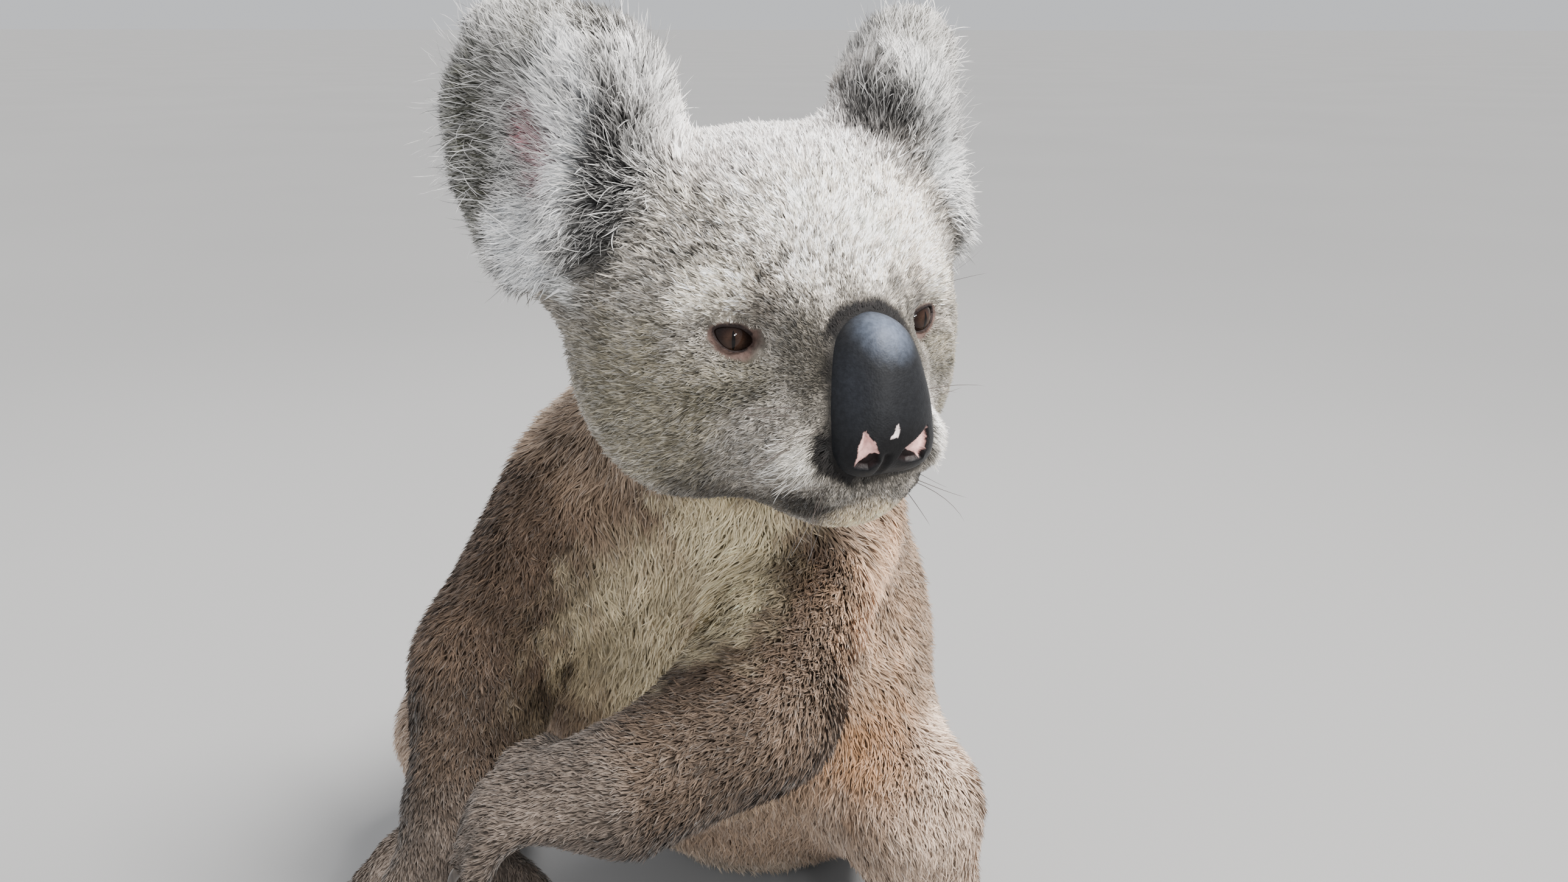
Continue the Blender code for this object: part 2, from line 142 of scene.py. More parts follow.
def folded(placed: Array) -> Array:
    """Moves places on the head's left half onto its right half."""
    return np.concatenate([-np.abs(placed[:, :1]), placed[:, 1:]], axis=1)


def box_middle(node: str) -> Array:
    """The middle of a solid's box."""
    low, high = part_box(node)
    return np.array((low + high) / 2)


@dataclass(frozen=True)
class Waves:
    """A smooth field over space that wanders between about -1 and 1.

    Attributes:
        size: The rough distance between its crests.
        seed: Chooses one such field.
        count: How many plane waves it adds up.
    """

    size: float
    seed: int
    count: int = 12

    def at(self, points: Array) -> Array:
        """Finds the field.

        Args:
            points: Where it is wanted.

        Returns:
            Its value at each point.
        """
        chance = np.random.default_rng(self.seed)
        ways = unit(chance.normal(size=(self.count, 3))) * (2 * pi / self.size)
        ways *= chance.uniform(0.6, 1.5, (self.count, 1))
        starts = chance.uniform(0, 2 * pi, self.count)
        return np.sin(points @ ways.T + starts).sum(axis=1) / np.sqrt(self.count)

    def vectors(self, points: Array) -> Array:
        """Three such fields at once, as one vector for each point."""
        fields = [Waves(self.size, self.seed + turn, self.count).at(points) for turn in (0, 101, 202)]
        return np.stack(fields, axis=1)


@dataclass
class HeadFrame:
    """The head's own frame, from the places of the two eyes.

    Attributes:
        eye_forward: How far the eyes lie ahead of the head's middle.
        eye_drop: How far they lie under it.
        centre: The head's middle.
        axes: The frame's three directions, as columns.
    """

    eye_forward: float = 0.0445
    eye_drop: float = 0.006
    centre: Array = field(init=False)
    axes: Array = field(init=False)

    def __post_init__(self) -> None:
        """Finds the middle and the axes."""
        left, right = box_middle("eye_left"), box_middle("eye_right")
        across = unit(left - right)
        up = np.array([0.0, 0.0, 1.0])
        up = unit(up - across * (up @ across))
        self.axes = np.stack([across, np.cross(up, across), up], axis=1)
        self.centre = (left + right) / 2 - self.axes @ np.array([0, -self.eye_forward, -self.eye_drop])

    def inside(self, points: Array) -> Array:
        """Turns places in the row's frame into places on the head."""
        return (points - self.centre) @ self.axes


@dataclass(frozen=True)
class CoatKind:
    """How the coat grows on one part of the body.

    Attributes:
        depth: How far the skin lies inside the tips of the coat.
        length: The length of a tuft.
        width: Its width at the root.
        rise: Its angle from the skin at the root.
        settle: The same at the tip.
        crowd: Tufts on a square centimetre.
        loose: How far tufts stray from the lie of the coat.
        bunch: How far the tips of neighbours draw together, from 0 to 1.
        gather: The distance between neighbouring bunches.
        contrast: How much lighter or darker one bunch is than the next.
        silver: The share of tufts with pale tips.
        dusk: The share of tufts with dark tips.
        gleam: How near the pale tips come to white.
        curl: How far tufts bend aside.
        shade: How dark the roots are, as a share of the coat's colour.
        soot: How dark the dark tips are, the same way.
    """

    depth: float
    length: float
    width: float
    rise: float
    settle: float
    crowd: float
    loose: float
    bunch: float
    gather: float = 0.0030
    contrast: float = 0.20
    silver: float = 0.24
    dusk: float = 0.14
    gleam: float = 0.22
    curl: float = 28.0
    shade: float = 0.45
    soot: float = 0.42


class Kind(Enum):
    """The kinds of coat, each named as the solids that it covers."""

    TRUNK = "trunk"
    NECK = "neck"
    TAIL = "tail"
    HEAD = "head"
    EAR = "ear"
    UPPER_ARM = "upper_arm"
    FOREARM = "forearm"
    HAND = "hand"
    LEG = "leg"
    FOOT = "foot"


# Each CoatKind begins with its depth, length, width, rise, settle, crowd, loose and bunch.
COATS = {
    Kind.TRUNK: CoatKind(
        0.0080, 0.0115, 0.00105, 38, 15, 66, 20, 0.34,
        gather=0.0034, contrast=0.13, shade=0.60,
    ),
    Kind.NECK: CoatKind(
        0.0075, 0.0125, 0.00090, 40, 18, 82, 20, 0.36,
        gather=0.0034, contrast=0.11, silver=0.16, dusk=0.08, shade=0.55,
    ),
    Kind.TAIL: CoatKind(
        0.0040, 0.0100, 0.00105, 36, 14, 58, 18, 0.36,
        gather=0.0034, contrast=0.13, silver=0.25, dusk=0.06, shade=0.60,
    ),
    Kind.HEAD: CoatKind(
        0.0046, 0.0084, 0.00092, 46, 22, 330, 22, 0.50,
        gather=0.0020, contrast=0.30, silver=0.36, dusk=0.22, gleam=0.44, curl=34, shade=0.30, soot=0.30,
    ),
    Kind.EAR: CoatKind(
        0.0040, 0.0124, 0.00070, 54, 30, 222, 34, 0.64,
        gather=0.0032, contrast=0.42, silver=0.56, dusk=0.24, gleam=0.94, curl=54, shade=0.06, soot=0.20,
    ),
    Kind.UPPER_ARM: CoatKind(
        0.0060, 0.0080, 0.00088, 38, 17, 138, 27, 0.42,
        gather=0.0028, contrast=0.20, silver=0.20, dusk=0.16, gleam=0.26, curl=34, shade=0.58,
    ),
    Kind.FOREARM: CoatKind(
        0.0050, 0.0074, 0.00084, 38, 17, 150, 27, 0.42,
        gather=0.0026, contrast=0.22, silver=0.20, dusk=0.18, gleam=0.26, curl=34, shade=0.58,
    ),
    Kind.HAND: CoatKind(
        0.0018, 0.0044, 0.00076, 32, 12, 130, 16, 0.30,
        gather=0.0020, contrast=0.16, shade=0.60,
    ),
    Kind.LEG: CoatKind(
        0.0060, 0.0088, 0.00096, 37, 16, 100, 22, 0.38,
        gather=0.0030, contrast=0.14, shade=0.60,
    ),
    Kind.FOOT: CoatKind(
        0.0020, 0.0048, 0.00080, 32, 12, 105, 15, 0.28,
        gather=0.0022, contrast=0.14, shade=0.60,
    ),
}
KINDS = list(Kind)
COAT_FIELDS = tuple(CoatKind.__dataclass_fields__)
LIMBS = (Kind.UPPER_ARM, Kind.FOREARM, Kind.HAND, Kind.LEG, Kind.FOOT)


def kind_of(node: str) -> Kind | None:
    """Finds the kind of coat that a solid has.

    Args:
        node: The solid's name.

    Returns:
        The kind, or None where it has none.
    """
    for kind in KINDS:
        if node == kind.value or node.startswith(kind.value + "_"):
            return kind
    return None


def share_of(shares: Array, *kinds: Kind) -> Array:
    """How much each point belongs to some kinds of coat together."""
    return shares[:, [KINDS.index(kind) for kind in kinds]].sum(axis=1)


def nearer_limb(points: Array, kind: Kind, side: str) -> Array:
    """Marks the points nearer to one side's limb than to the other side's."""
    here, there = (box_middle(f"{kind.value}_{end}") for end in (side, OTHER_SIDE[side]))
    return np.linalg.norm(points - here, axis=1) < np.linalg.norm(points - there, axis=1)


class Surface:
    """A triangle mesh as arrays, with its normals and each point's neighbours."""

    def __init__(self, points: Array, faces: Array) -> None:
        """Holds the points and faces and works out the rest.

        Args:
            points: The places of the points.
            faces: Three point numbers for each face.
        """
        self.points = points
        self.faces = faces
        pairs = np.concatenate([faces[:, [0, 1]], faces[:, [1, 2]], faces[:, [2, 0]]])
        pairs = np.unique(np.concatenate([pairs, pairs[:, ::-1]]), axis=0)
        self.others = pairs[:, 1]
        self.counts = np.bincount(pairs[:, 0], minlength=len(points))
        self.starts = np.concatenate([[0], np.cumsum(self.counts)[:-1]])

    @classmethod
    def of_mesh(cls, mesh: Mesh) -> Surface:
        """Reads a mesh.

        Args:
            mesh: The mesh, of faces with any number of corners.

        Returns:
            Its surface in triangles.
        """
        mesh.calc_loop_triangles()
        points = np.empty(len(mesh.vertices) * 3)
        mesh.vertices.foreach_get("co", points)
        faces = np.empty(len(mesh.loop_triangles) * 3, np.int32)
        mesh.loop_triangles.foreach_get("vertices", faces)
        return cls(points.reshape(-1, 3), faces.reshape(-1, 3))

    def facing(self) -> Array:
        """Each face's outward direction, as long as twice its area."""
        corners = self.points[self.faces]
        return np.cross(corners[:, 1] - corners[:, 0], corners[:, 2] - corners[:, 0])

    def normals(self) -> Array:
        """Finds the outward direction at each point.

        Returns:
            A unit vector for each.
        """
        facing = self.facing()
        total = np.zeros_like(self.points)
        for corner in range(3):
            for axis in range(3):
                total[:, axis] += np.bincount(self.faces[:, corner], facing[:, axis], len(self.points))
        return unit(total)

    def areas(self) -> Array:
        """The area of each face."""
        return np.linalg.norm(self.facing(), axis=1) / 2

    def tree(self) -> BVHTree:
        """A search tree of the faces."""
        return BVHTree.FromPolygons(self.points.tolist(), self.faces.tolist())

    def eased(self, values: Array, passes: int) -> Array:
        """Spreads values over the surface so that they change smoothly.

        Args:
            values: One or more values for each point.
            passes: How often each point moves halfway to its neighbours' mean.

        Returns:
            The eased values.
        """
        shape = (-1,) + (1,) * (values.ndim - 1)
        count = np.maximum(self.counts, 1).reshape(shape)
        for _ in range(passes):
            mean = np.add.reduceat(values[self.others], self.starts, axis=0) / count
            values = values * 0.5 + mean * 0.5
        return values


def new_mesh(name: str, points: Array, faces: Array) -> Mesh:
    """Makes a mesh of faces that all have the same number of corners.

    Args:
        name: The mesh's name.
        points: The places of the points.
        faces: The point numbers of each face.

    Returns:
        The mesh, shaded smooth.
    """
    mesh = bpy.data.meshes.new(name)
    corners = faces.shape[1]
    mesh.vertices.add(len(points))
    mesh.vertices.foreach_set("co", points.astype(np.float32).ravel())
    mesh.loops.add(faces.size)
    mesh.loops.foreach_set("vertex_index", faces.astype(np.int32).ravel())
    mesh.polygons.add(len(faces))
    mesh.polygons.foreach_set("loop_start", np.arange(0, faces.size, corners, dtype=np.int32))
    mesh.polygons.foreach_set("use_smooth", np.ones(len(faces), bool))
    mesh.update(calc_edges=True)
    return mesh


def new_object(name: str, data: bpy.types.ID | None) -> Piece:
    """Puts a mesh, light or camera in the scene.

    Args:
        name: The object's name.
        data: What it shows.

    Returns:
        The object.
    """
    made = bpy.data.objects.new(name, data)
    bpy.context.scene.collection.objects.link(made)
    return made


def from_builder(name: str, builder: Net) -> Piece:
    """Turns a finished bmesh into an object that is shaded smooth.

    Args:
        name: The object's name.
        builder: The bmesh, which is freed.

    Returns:
        The object.
    """
    mesh = bpy.data.meshes.new(name)
    builder.to_mesh(mesh)
    builder.free()
    for face in mesh.polygons:
        face.use_smooth = True
    return new_object(name, mesh)


def applied(source: Piece) -> Piece:
    """Applies an object's modifiers.

    Args:
        source: The object, which goes.

    Returns:
        A new object of the same name with the finished mesh.
    """
    graph = bpy.context.evaluated_depsgraph_get()
    mesh = bpy.data.meshes.new_from_object(source.evaluated_get(graph))
    name = source.name
    bpy.data.objects.remove(source)
    return new_object(name, mesh)


def joined(nodes: Iterable[Piece], grow: float = 0.0) -> Net:
    """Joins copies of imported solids, each merged from loose triangles and grown outwards.

    Args:
        nodes: The solids.
        grow: How far each grows.

    Returns:
        A bmesh of them all.
    """
    whole = bmesh.new()
    for node in nodes:
        builder = bmesh.new()
        builder.from_mesh(node.data)
        bmesh.ops.remove_doubles(builder, verts=builder.verts, dist=1e-5)
        builder.normal_update()
        for vert in builder.verts:
            vert.co += vert.normal * grow
        mesh = bpy.data.meshes.new(node.name)
        builder.to_mesh(mesh)
        builder.free()
        whole.from_mesh(mesh)
        bpy.data.meshes.remove(mesh)
    return whole


def rounded(name: str, builder: Net, levels: int, material: Material) -> Piece:
    """Turns a bmesh into an object, rounded by subdivision.

    Args:
        name: The object's name.
        builder: The bmesh, which is freed.
        levels: How finely it is rounded.
        material: Its finish.

    Returns:
        The object.
    """
    item = from_builder(name, builder)
    smooth = item.modifiers.new("smooth", "SUBSURF")
    smooth.levels = smooth.render_levels = levels
    piece = applied(item)
    piece.data.materials.clear()
    piece.data.materials.append(material)
    return piece


def places_of(verts: Iterable[bmesh.types.BMVert]) -> Array:
    """The places of some points of a bmesh."""
    return np.array([vert.co[:] for vert in verts])


def paint(mesh: Mesh, name: str, colours: Array) -> None:
    """Stores a colour for each point of a mesh.

    Args:
        mesh: The mesh.
        name: The attribute's name.
        colours: Three linear values for each point.
    """
    full = np.ones((len(colours), 4), np.float32)
    full[:, :3] = colours
    layer = mesh.attributes.new(name, "FLOAT_COLOR", "POINT")
    layer.data.foreach_set("color", full.ravel())


@dataclass
class EyeOpening:
    """The almond opening between the lids of one eye.

    Attributes:
        side: Which eye.
        outward: How far the eye looks to its own side of straight ahead.
        downward: How far it looks down.
        half_length: Half its length from corner to corner.
        above: How high the upper lid arches over the line through the corners.
        below: How low the lower lid hangs under it.
        middle: The opening's middle, off the eyeball's: towards the nose, and up.
        tilt: How far the inner corner lies lower.
        lid_radius: The distance of the lids' face from the eyeball's middle.
        lid_fade: How far off the lids' face a place stops and starts to belong to it.
        edge_widths: The width of the bare skin, and what the lower lid and the inner corner add.
        squareness: 2 for an oval opening, and less for a sharper almond.
    """

    side: str
    head: HeadFrame
    outward: float = 16.0
    downward: float = 3.6
    half_length: float = 0.0072
    above: float = 0.0037
    below: float = 0.0041
    middle: Pair = (0.0006, 0.0005)
    tilt: float = 20.0
    lid_radius: float = 0.0100
    lid_fade: Pair = (0.0042, 0.0016)
    edge_widths: Triple = (0.0003, 0.0012, 0.0030)
    squareness: float = 1.7

    def ball(self) -> Array:
        """The middle of the eyeball."""
        return box_middle("eye_" + self.side)

    def axes(self) -> Array:
        """Finds the eye's own axes in the row's frame.

        Returns:
            The directions towards the nose, ahead and up, as columns.
        """
        sign, out, down = SIDES[self.side], radians(self.outward), radians(self.downward)
        ahead = np.array([sign * sin(out) * cos(down), -cos(out) * cos(down), -sin(down)])
        noseward = np.array([-sign * cos(out), -sin(out), 0.0])
        up = np.cross(noseward, ahead) * sign
        return self.head.axes @ np.stack([noseward, ahead, up], axis=1)

    def local(self, points: Array) -> Array:
        """Places seen from the eyeball's middle: towards the nose, ahead, and up."""
        return (points - self.ball()) @ self.axes()

    def world(self, local: Array) -> Array:
        """The reverse of local."""
        return local @ self.axes().T + self.ball()

    def on_lid(self, local: Array) -> Array:
        """How near a place lies to the lids' face, from 0 to 1."""
        return ease(*self.lid_fade, np.linalg.norm(local, axis=1) - self.lid_radius)

    def bare_edge(self, local: Array) -> Array:
        """Finds how wide the bare skin round the opening is.

        Args:
            local: Places from the eyeball's middle.

        Returns:
            A width for each.
        """
        flat = self.flat(local)
        around, under, corner = self.edge_widths
        below = ease(0.001, -0.003, flat[:, 1])
        inner = ease(0.0035, 0.0075, flat[:, 0])
        return around + under * below + corner * inner

    def flat(self, local: Array) -> Array:
        """Lays places out across the opening.

        Args:
            local: Places from the eyeball's middle.

        Returns:
            How far each lies along the opening and square to it.
        """
        turn = radians(-self.tilt)
        along = np.array([cos(turn), sin(turn)])
        square = np.array([-sin(turn), cos(turn)])
        offset = local[:, [0, 2]] - np.array(self.middle)
        return np.stack([offset @ along, offset @ square], axis=1)

    def ratio(self, local: Array) -> Array:
        """Finds how far out places lie.

        Args:
            local: Places from the eyeball's middle.

        Returns:
            Under 1 inside the opening, 1 on its edge and more outside.
        """
        flat = self.flat(local)
        height = np.where(flat[:, 1] > 0, self.above, self.below)
        near = np.abs(flat[:, 0] / self.half_length) ** self.squareness
        near += np.abs(flat[:, 1] / height) ** self.squareness
        return near ** (1 / self.squareness)

    def clearance(self, local: Array) -> Array:
        """The rough distance outside the opening's edge: negative inside, and large behind the eye."""
        beside = np.linalg.norm(self.flat(local), axis=1) * (1 - 1 / np.maximum(self.ratio(local), 1e-4))
        return np.where(local[:, 1] > 0, beside, 1.0)

    def edge_place(self, local: Array) -> Array:
        """Moves places onto the opening's edge, on the lids' face.

        Args:
            local: Places from the eyeball's middle.

        Returns:
            The new places, seen the same way.
        """
        ratio = self.ratio(local)[:, None]
        middle = np.array([self.middle[0], 0.0, self.middle[1]])
        placed = middle + (local - middle) / np.maximum(ratio, 1e-4)
        depth = self.lid_radius**2 - placed[:, 0] ** 2 - placed[:, 2] ** 2
        placed[:, 1] = np.sqrt(np.maximum(depth, 1e-8))
        return placed


@dataclass(frozen=True)
class Crease:
    """A groove along a path on the head, on both of its halves.

    Attributes:
        path: The points that it follows, on the head's right half, where X is negative.
        width: The distance at which it has died away to a third.
        depth: How deep it goes.
    """

    path: tuple[Triple, ...]
    width: float
    depth: float

    def share(self, placed: Array) -> Array:
        """How much of the groove's depth is reached at places on the head, 0 away from it."""
        share = np.exp(-((path_distance(folded(placed), np.array(self.path)) / self.width) ** 2))
        return np.where(np.linalg.norm(placed, axis=1) < HEAD_REACH, share, 0.0)


LIPS = ((0.0, -0.088, -0.0475), (-0.012, -0.086, -0.0490), (-0.0255, -0.0742, -0.0535))
MOUTH = Crease(LIPS, 0.0016, 0.0022)

# Under the eye, over and under its inner corner, the mouth, and the mouth's corner.
CREASES = (
    Crease(((-0.046, -0.052, -0.001), (-0.054, -0.044, -0.014), (-0.058, -0.036, -0.026)), 0.0030, 0.0013),
    Crease(((-0.044, -0.055, 0.001), (-0.037, -0.060, 0.004), (-0.029, -0.062, 0.003)), 0.0018, 0.0008),
    Crease(((-0.044, -0.056, -0.014), (-0.036, -0.060, -0.016), (-0.029, -0.064, -0.015)), 0.0022, 0.0007),
    MOUTH,
    Crease(((-0.0255, -0.0742, -0.0535), (-0.030, -0.067, -0.057)), 0.0018, 0.0012),
)


@dataclass
class Skin:
    """The one skin of the whole body, inside the solids of flesh by the depth of the coat.

    Attributes:
        cell: The size of the net's cells.
        overlap: How far each solid grows, to close the cuts between them.
        fine_region: The low and high corners of the part of the face with a finer net, on the head.
        fine_reach: How far round an eye it is finer still.
        passes: How often the net is smoothed before it is made finer, and after.
        depth_passes: How often the coat's depth is smoothed.
        share_passes: How often the kinds of coat are.
        probe: Where the feeling for a thin part starts, and how deep it goes.
        thinnest: The most of a thin part that the coat takes, on each side.
        sole_share: The share of the coat's depth on the ground.
        sole_run: The heights between which it grows to the full depth.
        nose_sink: How far the skin draws back under the nose pad.
        nose_gap: How far from the nose it starts to.
        lid_reach: How far from the eyeball's middle the lids go.
        cut_reach: How far from it the openings are cut.
        lid_run: Between what distances from the opening the lids run into the skin.
        margin: The thickness of a lid's edge.
        turned_in: How many of these its two folds lie behind the lids' face.
        surface: The finished skin, once it is built.
        piece: Its object.
        openings: The openings of the eyes.
        weights: How much each point belongs to each kind of coat.
        normals: The outward direction at each point.
    """

    head: HeadFrame
    cell: float = 0.0028
    overlap: float = 0.0006
    fine_region: tuple[Triple, Triple] = ((-0.055, -1.0, -0.075), (0.055, -0.035, 0.016))
    fine_reach: float = 0.015
    passes: tuple[int, int] = (7, 2)
    depth_passes: int = 4
    share_passes: int = 14
    probe: Pair = (0.0008, 0.1)
    thinnest: float = 0.28
    sole_share: float = 0.15
    sole_run: Pair = (0.001, 0.014)
    nose_sink: float = 0.0052
    nose_gap: float = 0.0009
    lid_reach: float = 0.024
    cut_reach: float = 0.020
    lid_run: Pair = (0.0012, 0.0055)
    margin: float = 0.0008
    turned_in: tuple[int, int] = (1, 4)
    surface: Surface = field(init=False)
    piece: Piece = field(init=False)
    openings: list[EyeOpening] = field(init=False)
    weights: Array = field(init=False)
    normals: Array = field(init=False)

    def nodes(self) -> dict[str, Piece]:
        """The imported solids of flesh, by name."""
        return {name: node for name, node in SOLIDS.items() if kind_of(name)}

    def net(self) -> Piece:
        """Lays one closed net round all the solids, the eyes and the nose among them.

        Returns:
            The net.
        """
        held = [*self.nodes().values(), SOLIDS["nose"], *(SOLIDS["eye_" + side] for side in SIDES)]
        net = from_builder("net", joined(held, self.overlap))
        remesh = net.modifiers.new("net", "REMESH")
        remesh.mode = "VOXEL"
        remesh.voxel_size = self.cell
        return applied(net)

    def finer(self, net: Piece) -> None:
        """Makes the net finer round the eyes and the mouth.

        Args:
            net: The net.
        """
        builder = bmesh.new()
        builder.from_mesh(net.data)
        placed = self.head.inside(places_of(builder.verts))
        low, high = np.array(self.fine_region)
        self.split(builder, ((placed > low) & (placed < high)).all(axis=1))
        places = places_of(builder.verts)
        away = [np.linalg.norm(places - opening.ball(), axis=1) for opening in self.openings]
        self.split(builder, np.minimum(*away) < self.fine_reach)
        bmesh.ops.triangulate(builder, faces=builder.faces)
        builder.to_mesh(net.data)
        builder.free()

    @staticmethod
    def split(builder: Net, near: Array) -> None:
        """Cuts the edges whose ends are both marked, and the faces between them.

        Args:
            builder: The net.
            near: One mark for each of its points.
        """
        builder.verts.index_update()
        edges = [edge for edge in builder.edges if all(near[vert.index] for vert in edge.verts)]
        bmesh.ops.subdivide_edges(builder, edges=edges, cuts=1, use_grid_fill=True)

    def shares(self, surface: Surface) -> Array:
        """Finds how much each point belongs to each kind of coat, changing smoothly.

        Args:
            surface: The points' surface.

        Returns:
            One share for each point and kind, adding up to 1.
        """
        verts, faces, kinds = [], [], []
        for name, node in self.nodes().items():
            part = Surface.of_mesh(node.data)
            faces += (part.faces + len(verts)).tolist()
            verts += part.points.tolist()
            kinds += [KINDS.index(kind_of(name))] * len(part.faces)
        tree = BVHTree.FromPolygons(verts, faces)
        shares = np.zeros((len(surface.points), len(KINDS)))
        for number, point in enumerate(surface.points):
            shares[number, kinds[tree.find_nearest(point)[2]]] = 1.0
        return surface.eased(shares, self.share_passes)

    def thickness(self, surface: Surface, normals: Array) -> Array:
        """Feels how thick the body is.

        Args:
            surface: The body's surface.
            normals: Its outward directions.

        Returns:
            A thickness under each point.
        """
        start, furthest = self.probe
        tree = surface.tree()
        found = np.full(len(normals), furthest)
        for number, (point, normal) in enumerate(zip(surface.points, normals)):
            hit = tree.ray_cast(Vector(point - normal * start), Vector(-normal), furthest)
            if hit[0] is not None:
                found[number] = hit[3]
        return surface.eased(found, self.depth_passes)

    def depths(self, surface: Surface, normals: Array) -> Array:
        """Finds how deep the skin lies under the coat's tips.

        Args:
            surface: The solids' surface.
            normals: Its outward directions.

        Returns:
            A depth for each point.
        """
        points = surface.points
        depth = self.shares(surface) @ np.array([COATS[kind].depth for kind in KINDS])
        depth *= face_share(self.head.inside(points))
        depth *= self.sole_share + (1 - self.sole_share) * ease(*self.sole_run, points[:, 2])
        depth = np.minimum(depth, self.thinnest * self.thickness(surface, normals))
        drawn = self.nose_sink * ease(self.nose_gap, 0.0, nose_distance(points))
        return surface.eased(depth, self.depth_passes) + drawn

    def close_lids(self, points: Array) -> Array:
        """Lays the skin over each eyeball as lids, and runs it into the skin around.

        Args:
            points: The skin's points.

        Returns:
            Their new places.
        """
        for opening in self.openings:
            local = opening.local(points)
            reach = np.linalg.norm(local, axis=1)
            near = (reach < self.lid_reach) & (local[:, 1] > 0)
            run = 1 - ease(*self.lid_run, np.maximum(opening.clearance(local), 0))
            radius = np.maximum(reach * (1 - run) + opening.lid_radius * run, opening.lid_radius)
            moved = opening.world(local / reach[:, None] * radius[:, None])
            points = np.where(near[:, None], moved, points)
        return points

    def open_lids(self) -> None:
        """Cuts the openings, and turns each edge in behind the face of its eyeball."""
        builder = bmesh.new()
        builder.from_mesh(self.piece.data)
        for opening in self.openings:
            self.open_lid(builder, opening)
        bmesh.ops.triangulate(builder, faces=builder.faces)
        builder.to_mesh(self.piece.data)
        builder.free()

    def open_lid(self, builder: Net, opening: EyeOpening) -> None:
        """Cuts one opening.

        Args:
            builder: The skin.
            opening: Where the opening lies.
        """
        local = opening.local(np.array([face.calc_center_median()[:] for face in builder.faces]))
        inner = (opening.clearance(local) < 0) & (np.linalg.norm(local, axis=1) < self.cut_reach)
        gone = [face for face, out in zip(builder.faces, inner) if out]
        bmesh.ops.delete(builder, geom=gone, context="FACES")
        rim = [edge for edge in builder.edges if edge.is_boundary]
        self.move_rim(rim, opening, opening.edge_place)
        for folds in self.turned_in:
            made = bmesh.ops.extrude_edge_only(builder, edges=rim)["geom"]
            rim = [item for item in made if isinstance(item, bmesh.types.BMEdge) and item.is_boundary]
            radius = opening.lid_radius - folds * self.margin
            self.move_rim(rim, opening, lambda local: unit(local) * radius)
        bmesh.ops.holes_fill(builder, edges=rim)

    @staticmethod
    def move_rim(rim: list[bmesh.types.BMEdge], opening: EyeOpening, move: Callable[[Array], Array]) -> None:
        """Moves the points of an opening's edge.

        Args:
            rim: The edge.
            opening: The opening.
            move: Turns places seen from the eyeball's middle into new ones.
        """
        verts = list({vert for edge in rim for vert in edge.verts})
        for vert, place in zip(verts, opening.world(move(opening.local(places_of(verts))))):
            vert.co = place

    def build(self) -> None:
        """Makes the skin's mesh."""
        self.openings = [EyeOpening(side, self.head) for side in SIDES]
        net = self.net()
        surface = Surface.of_mesh(net.data)
        net.data.vertices.foreach_set("co", surface.eased(surface.points, self.passes[0]).ravel())
        self.finer(net)
        surface = Surface.of_mesh(net.data)
        surface.points = surface.eased(surface.points, self.passes[1])
        normals = surface.normals()
        points = surface.points - normals * self.depths(surface, normals)[:, None]
        surface.points = self.close_lids(surface.eased(points, self.passes[1]))
        placed = self.head.inside(surface.points)
        sink = sum(crease.depth * crease.share(placed) for crease in CREASES)
        points = surface.points - surface.normals() * sink[:, None]
        points[:, 2] = np.maximum(points[:, 2], FLOOR_CLEARANCE)
        net.data.vertices.foreach_set("co", points.ravel())
        net.name = "skin"
        self.piece = net
        self.open_lids()
        self.surface = Surface.of_mesh(self.piece.data)
        self.weights = self.shares(self.surface)
        self.normals = self.surface.normals()
        for face in self.piece.data.polygons:
            face.use_smooth = True
        LOG.info("skin: %d triangles", len(self.surface.faces))


def nose_distance(points: Array) -> Array:
    """Finds how far each point lies from the nose's solid.

    Args:
        points: Places in the row's frame.

    Returns:
        A distance for each, 0 inside the solid and 1 where it is far off.
    """
    tree = Surface.of_mesh(SOLIDS["nose"].data).tree()
    low, high = (np.array(corner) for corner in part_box("nose"))
    found = np.ones(len(points))
    close = np.nonzero(((points > low - NOSE_REACH) & (points < high + NOSE_REACH)).all(axis=1))[0]
    for number in close:
        place, normal, _, distance = tree.find_nearest(points[number])
        inside = (Vector(points[number]) - place).dot(normal) < 0
        found[number] = 0.0 if inside else distance
    return found


# Where the coat is short, as a middle and a reach on the head, what share is left there, and where it ends.
SHORT_PARTS = (
    ((0.0, -0.060, -0.015), (0.066, 0.040, 0.060), 0.52, (0.75, 1.35)),
    ((0.0, -0.078, -0.028), (0.030, 0.034, 0.038), 0.42, (0.80, 1.45)),
)


def face_share(placed: Array) -> Array:
    """Finds how much of the head's full coat grows: little on the muzzle and round the eyes.

    Args:
        placed: Places on the head.

    Returns:
        A share for each, 1 away from the face.
    """
    share = np.ones(len(placed))
    for middle, reach, least, run in SHORT_PARTS:
        share *= least + (1 - least) * ease(*run, far_out(placed, middle, reach))
    return np.where(np.linalg.norm(placed, axis=1) < FACE_REACH, share, 1.0)


@dataclass(frozen=True)
class Patch:
    """A soft patch of colour.

    Attributes:
        centre: Its middle.
        reach: How far it goes each way.
        colour: Its colour.
        strength: How much of it shows at its middle.
        soft: The part of its reach over which it fades.
        ragged: How far its edge strays, as a part of its reach.
    """

    centre: Triple
    reach: Triple
    colour: Triple
    strength: float = 1.0
    soft: float = 0.6
    ragged: float = 0.12

    def lay(self, colours: Array, places: Array, stray: Array) -> Array:
        """Lays the patch over the colours of some places, with an edge that strays."""
        out = far_out(places, self.centre, self.reach) + self.ragged * stray
        return mixed(colours, linear(*self.colour), self.strength * ease(1.0, 1.0 - self.soft, out))


def laid(patches: Iterable[Patch], colours: Array, places: Array, stray: Array) -> Array:
    """Lays patches over the colours of some places one after another."""
    return reduce(lambda under, patch: patch.lay(under, places, stray), patches, colours)


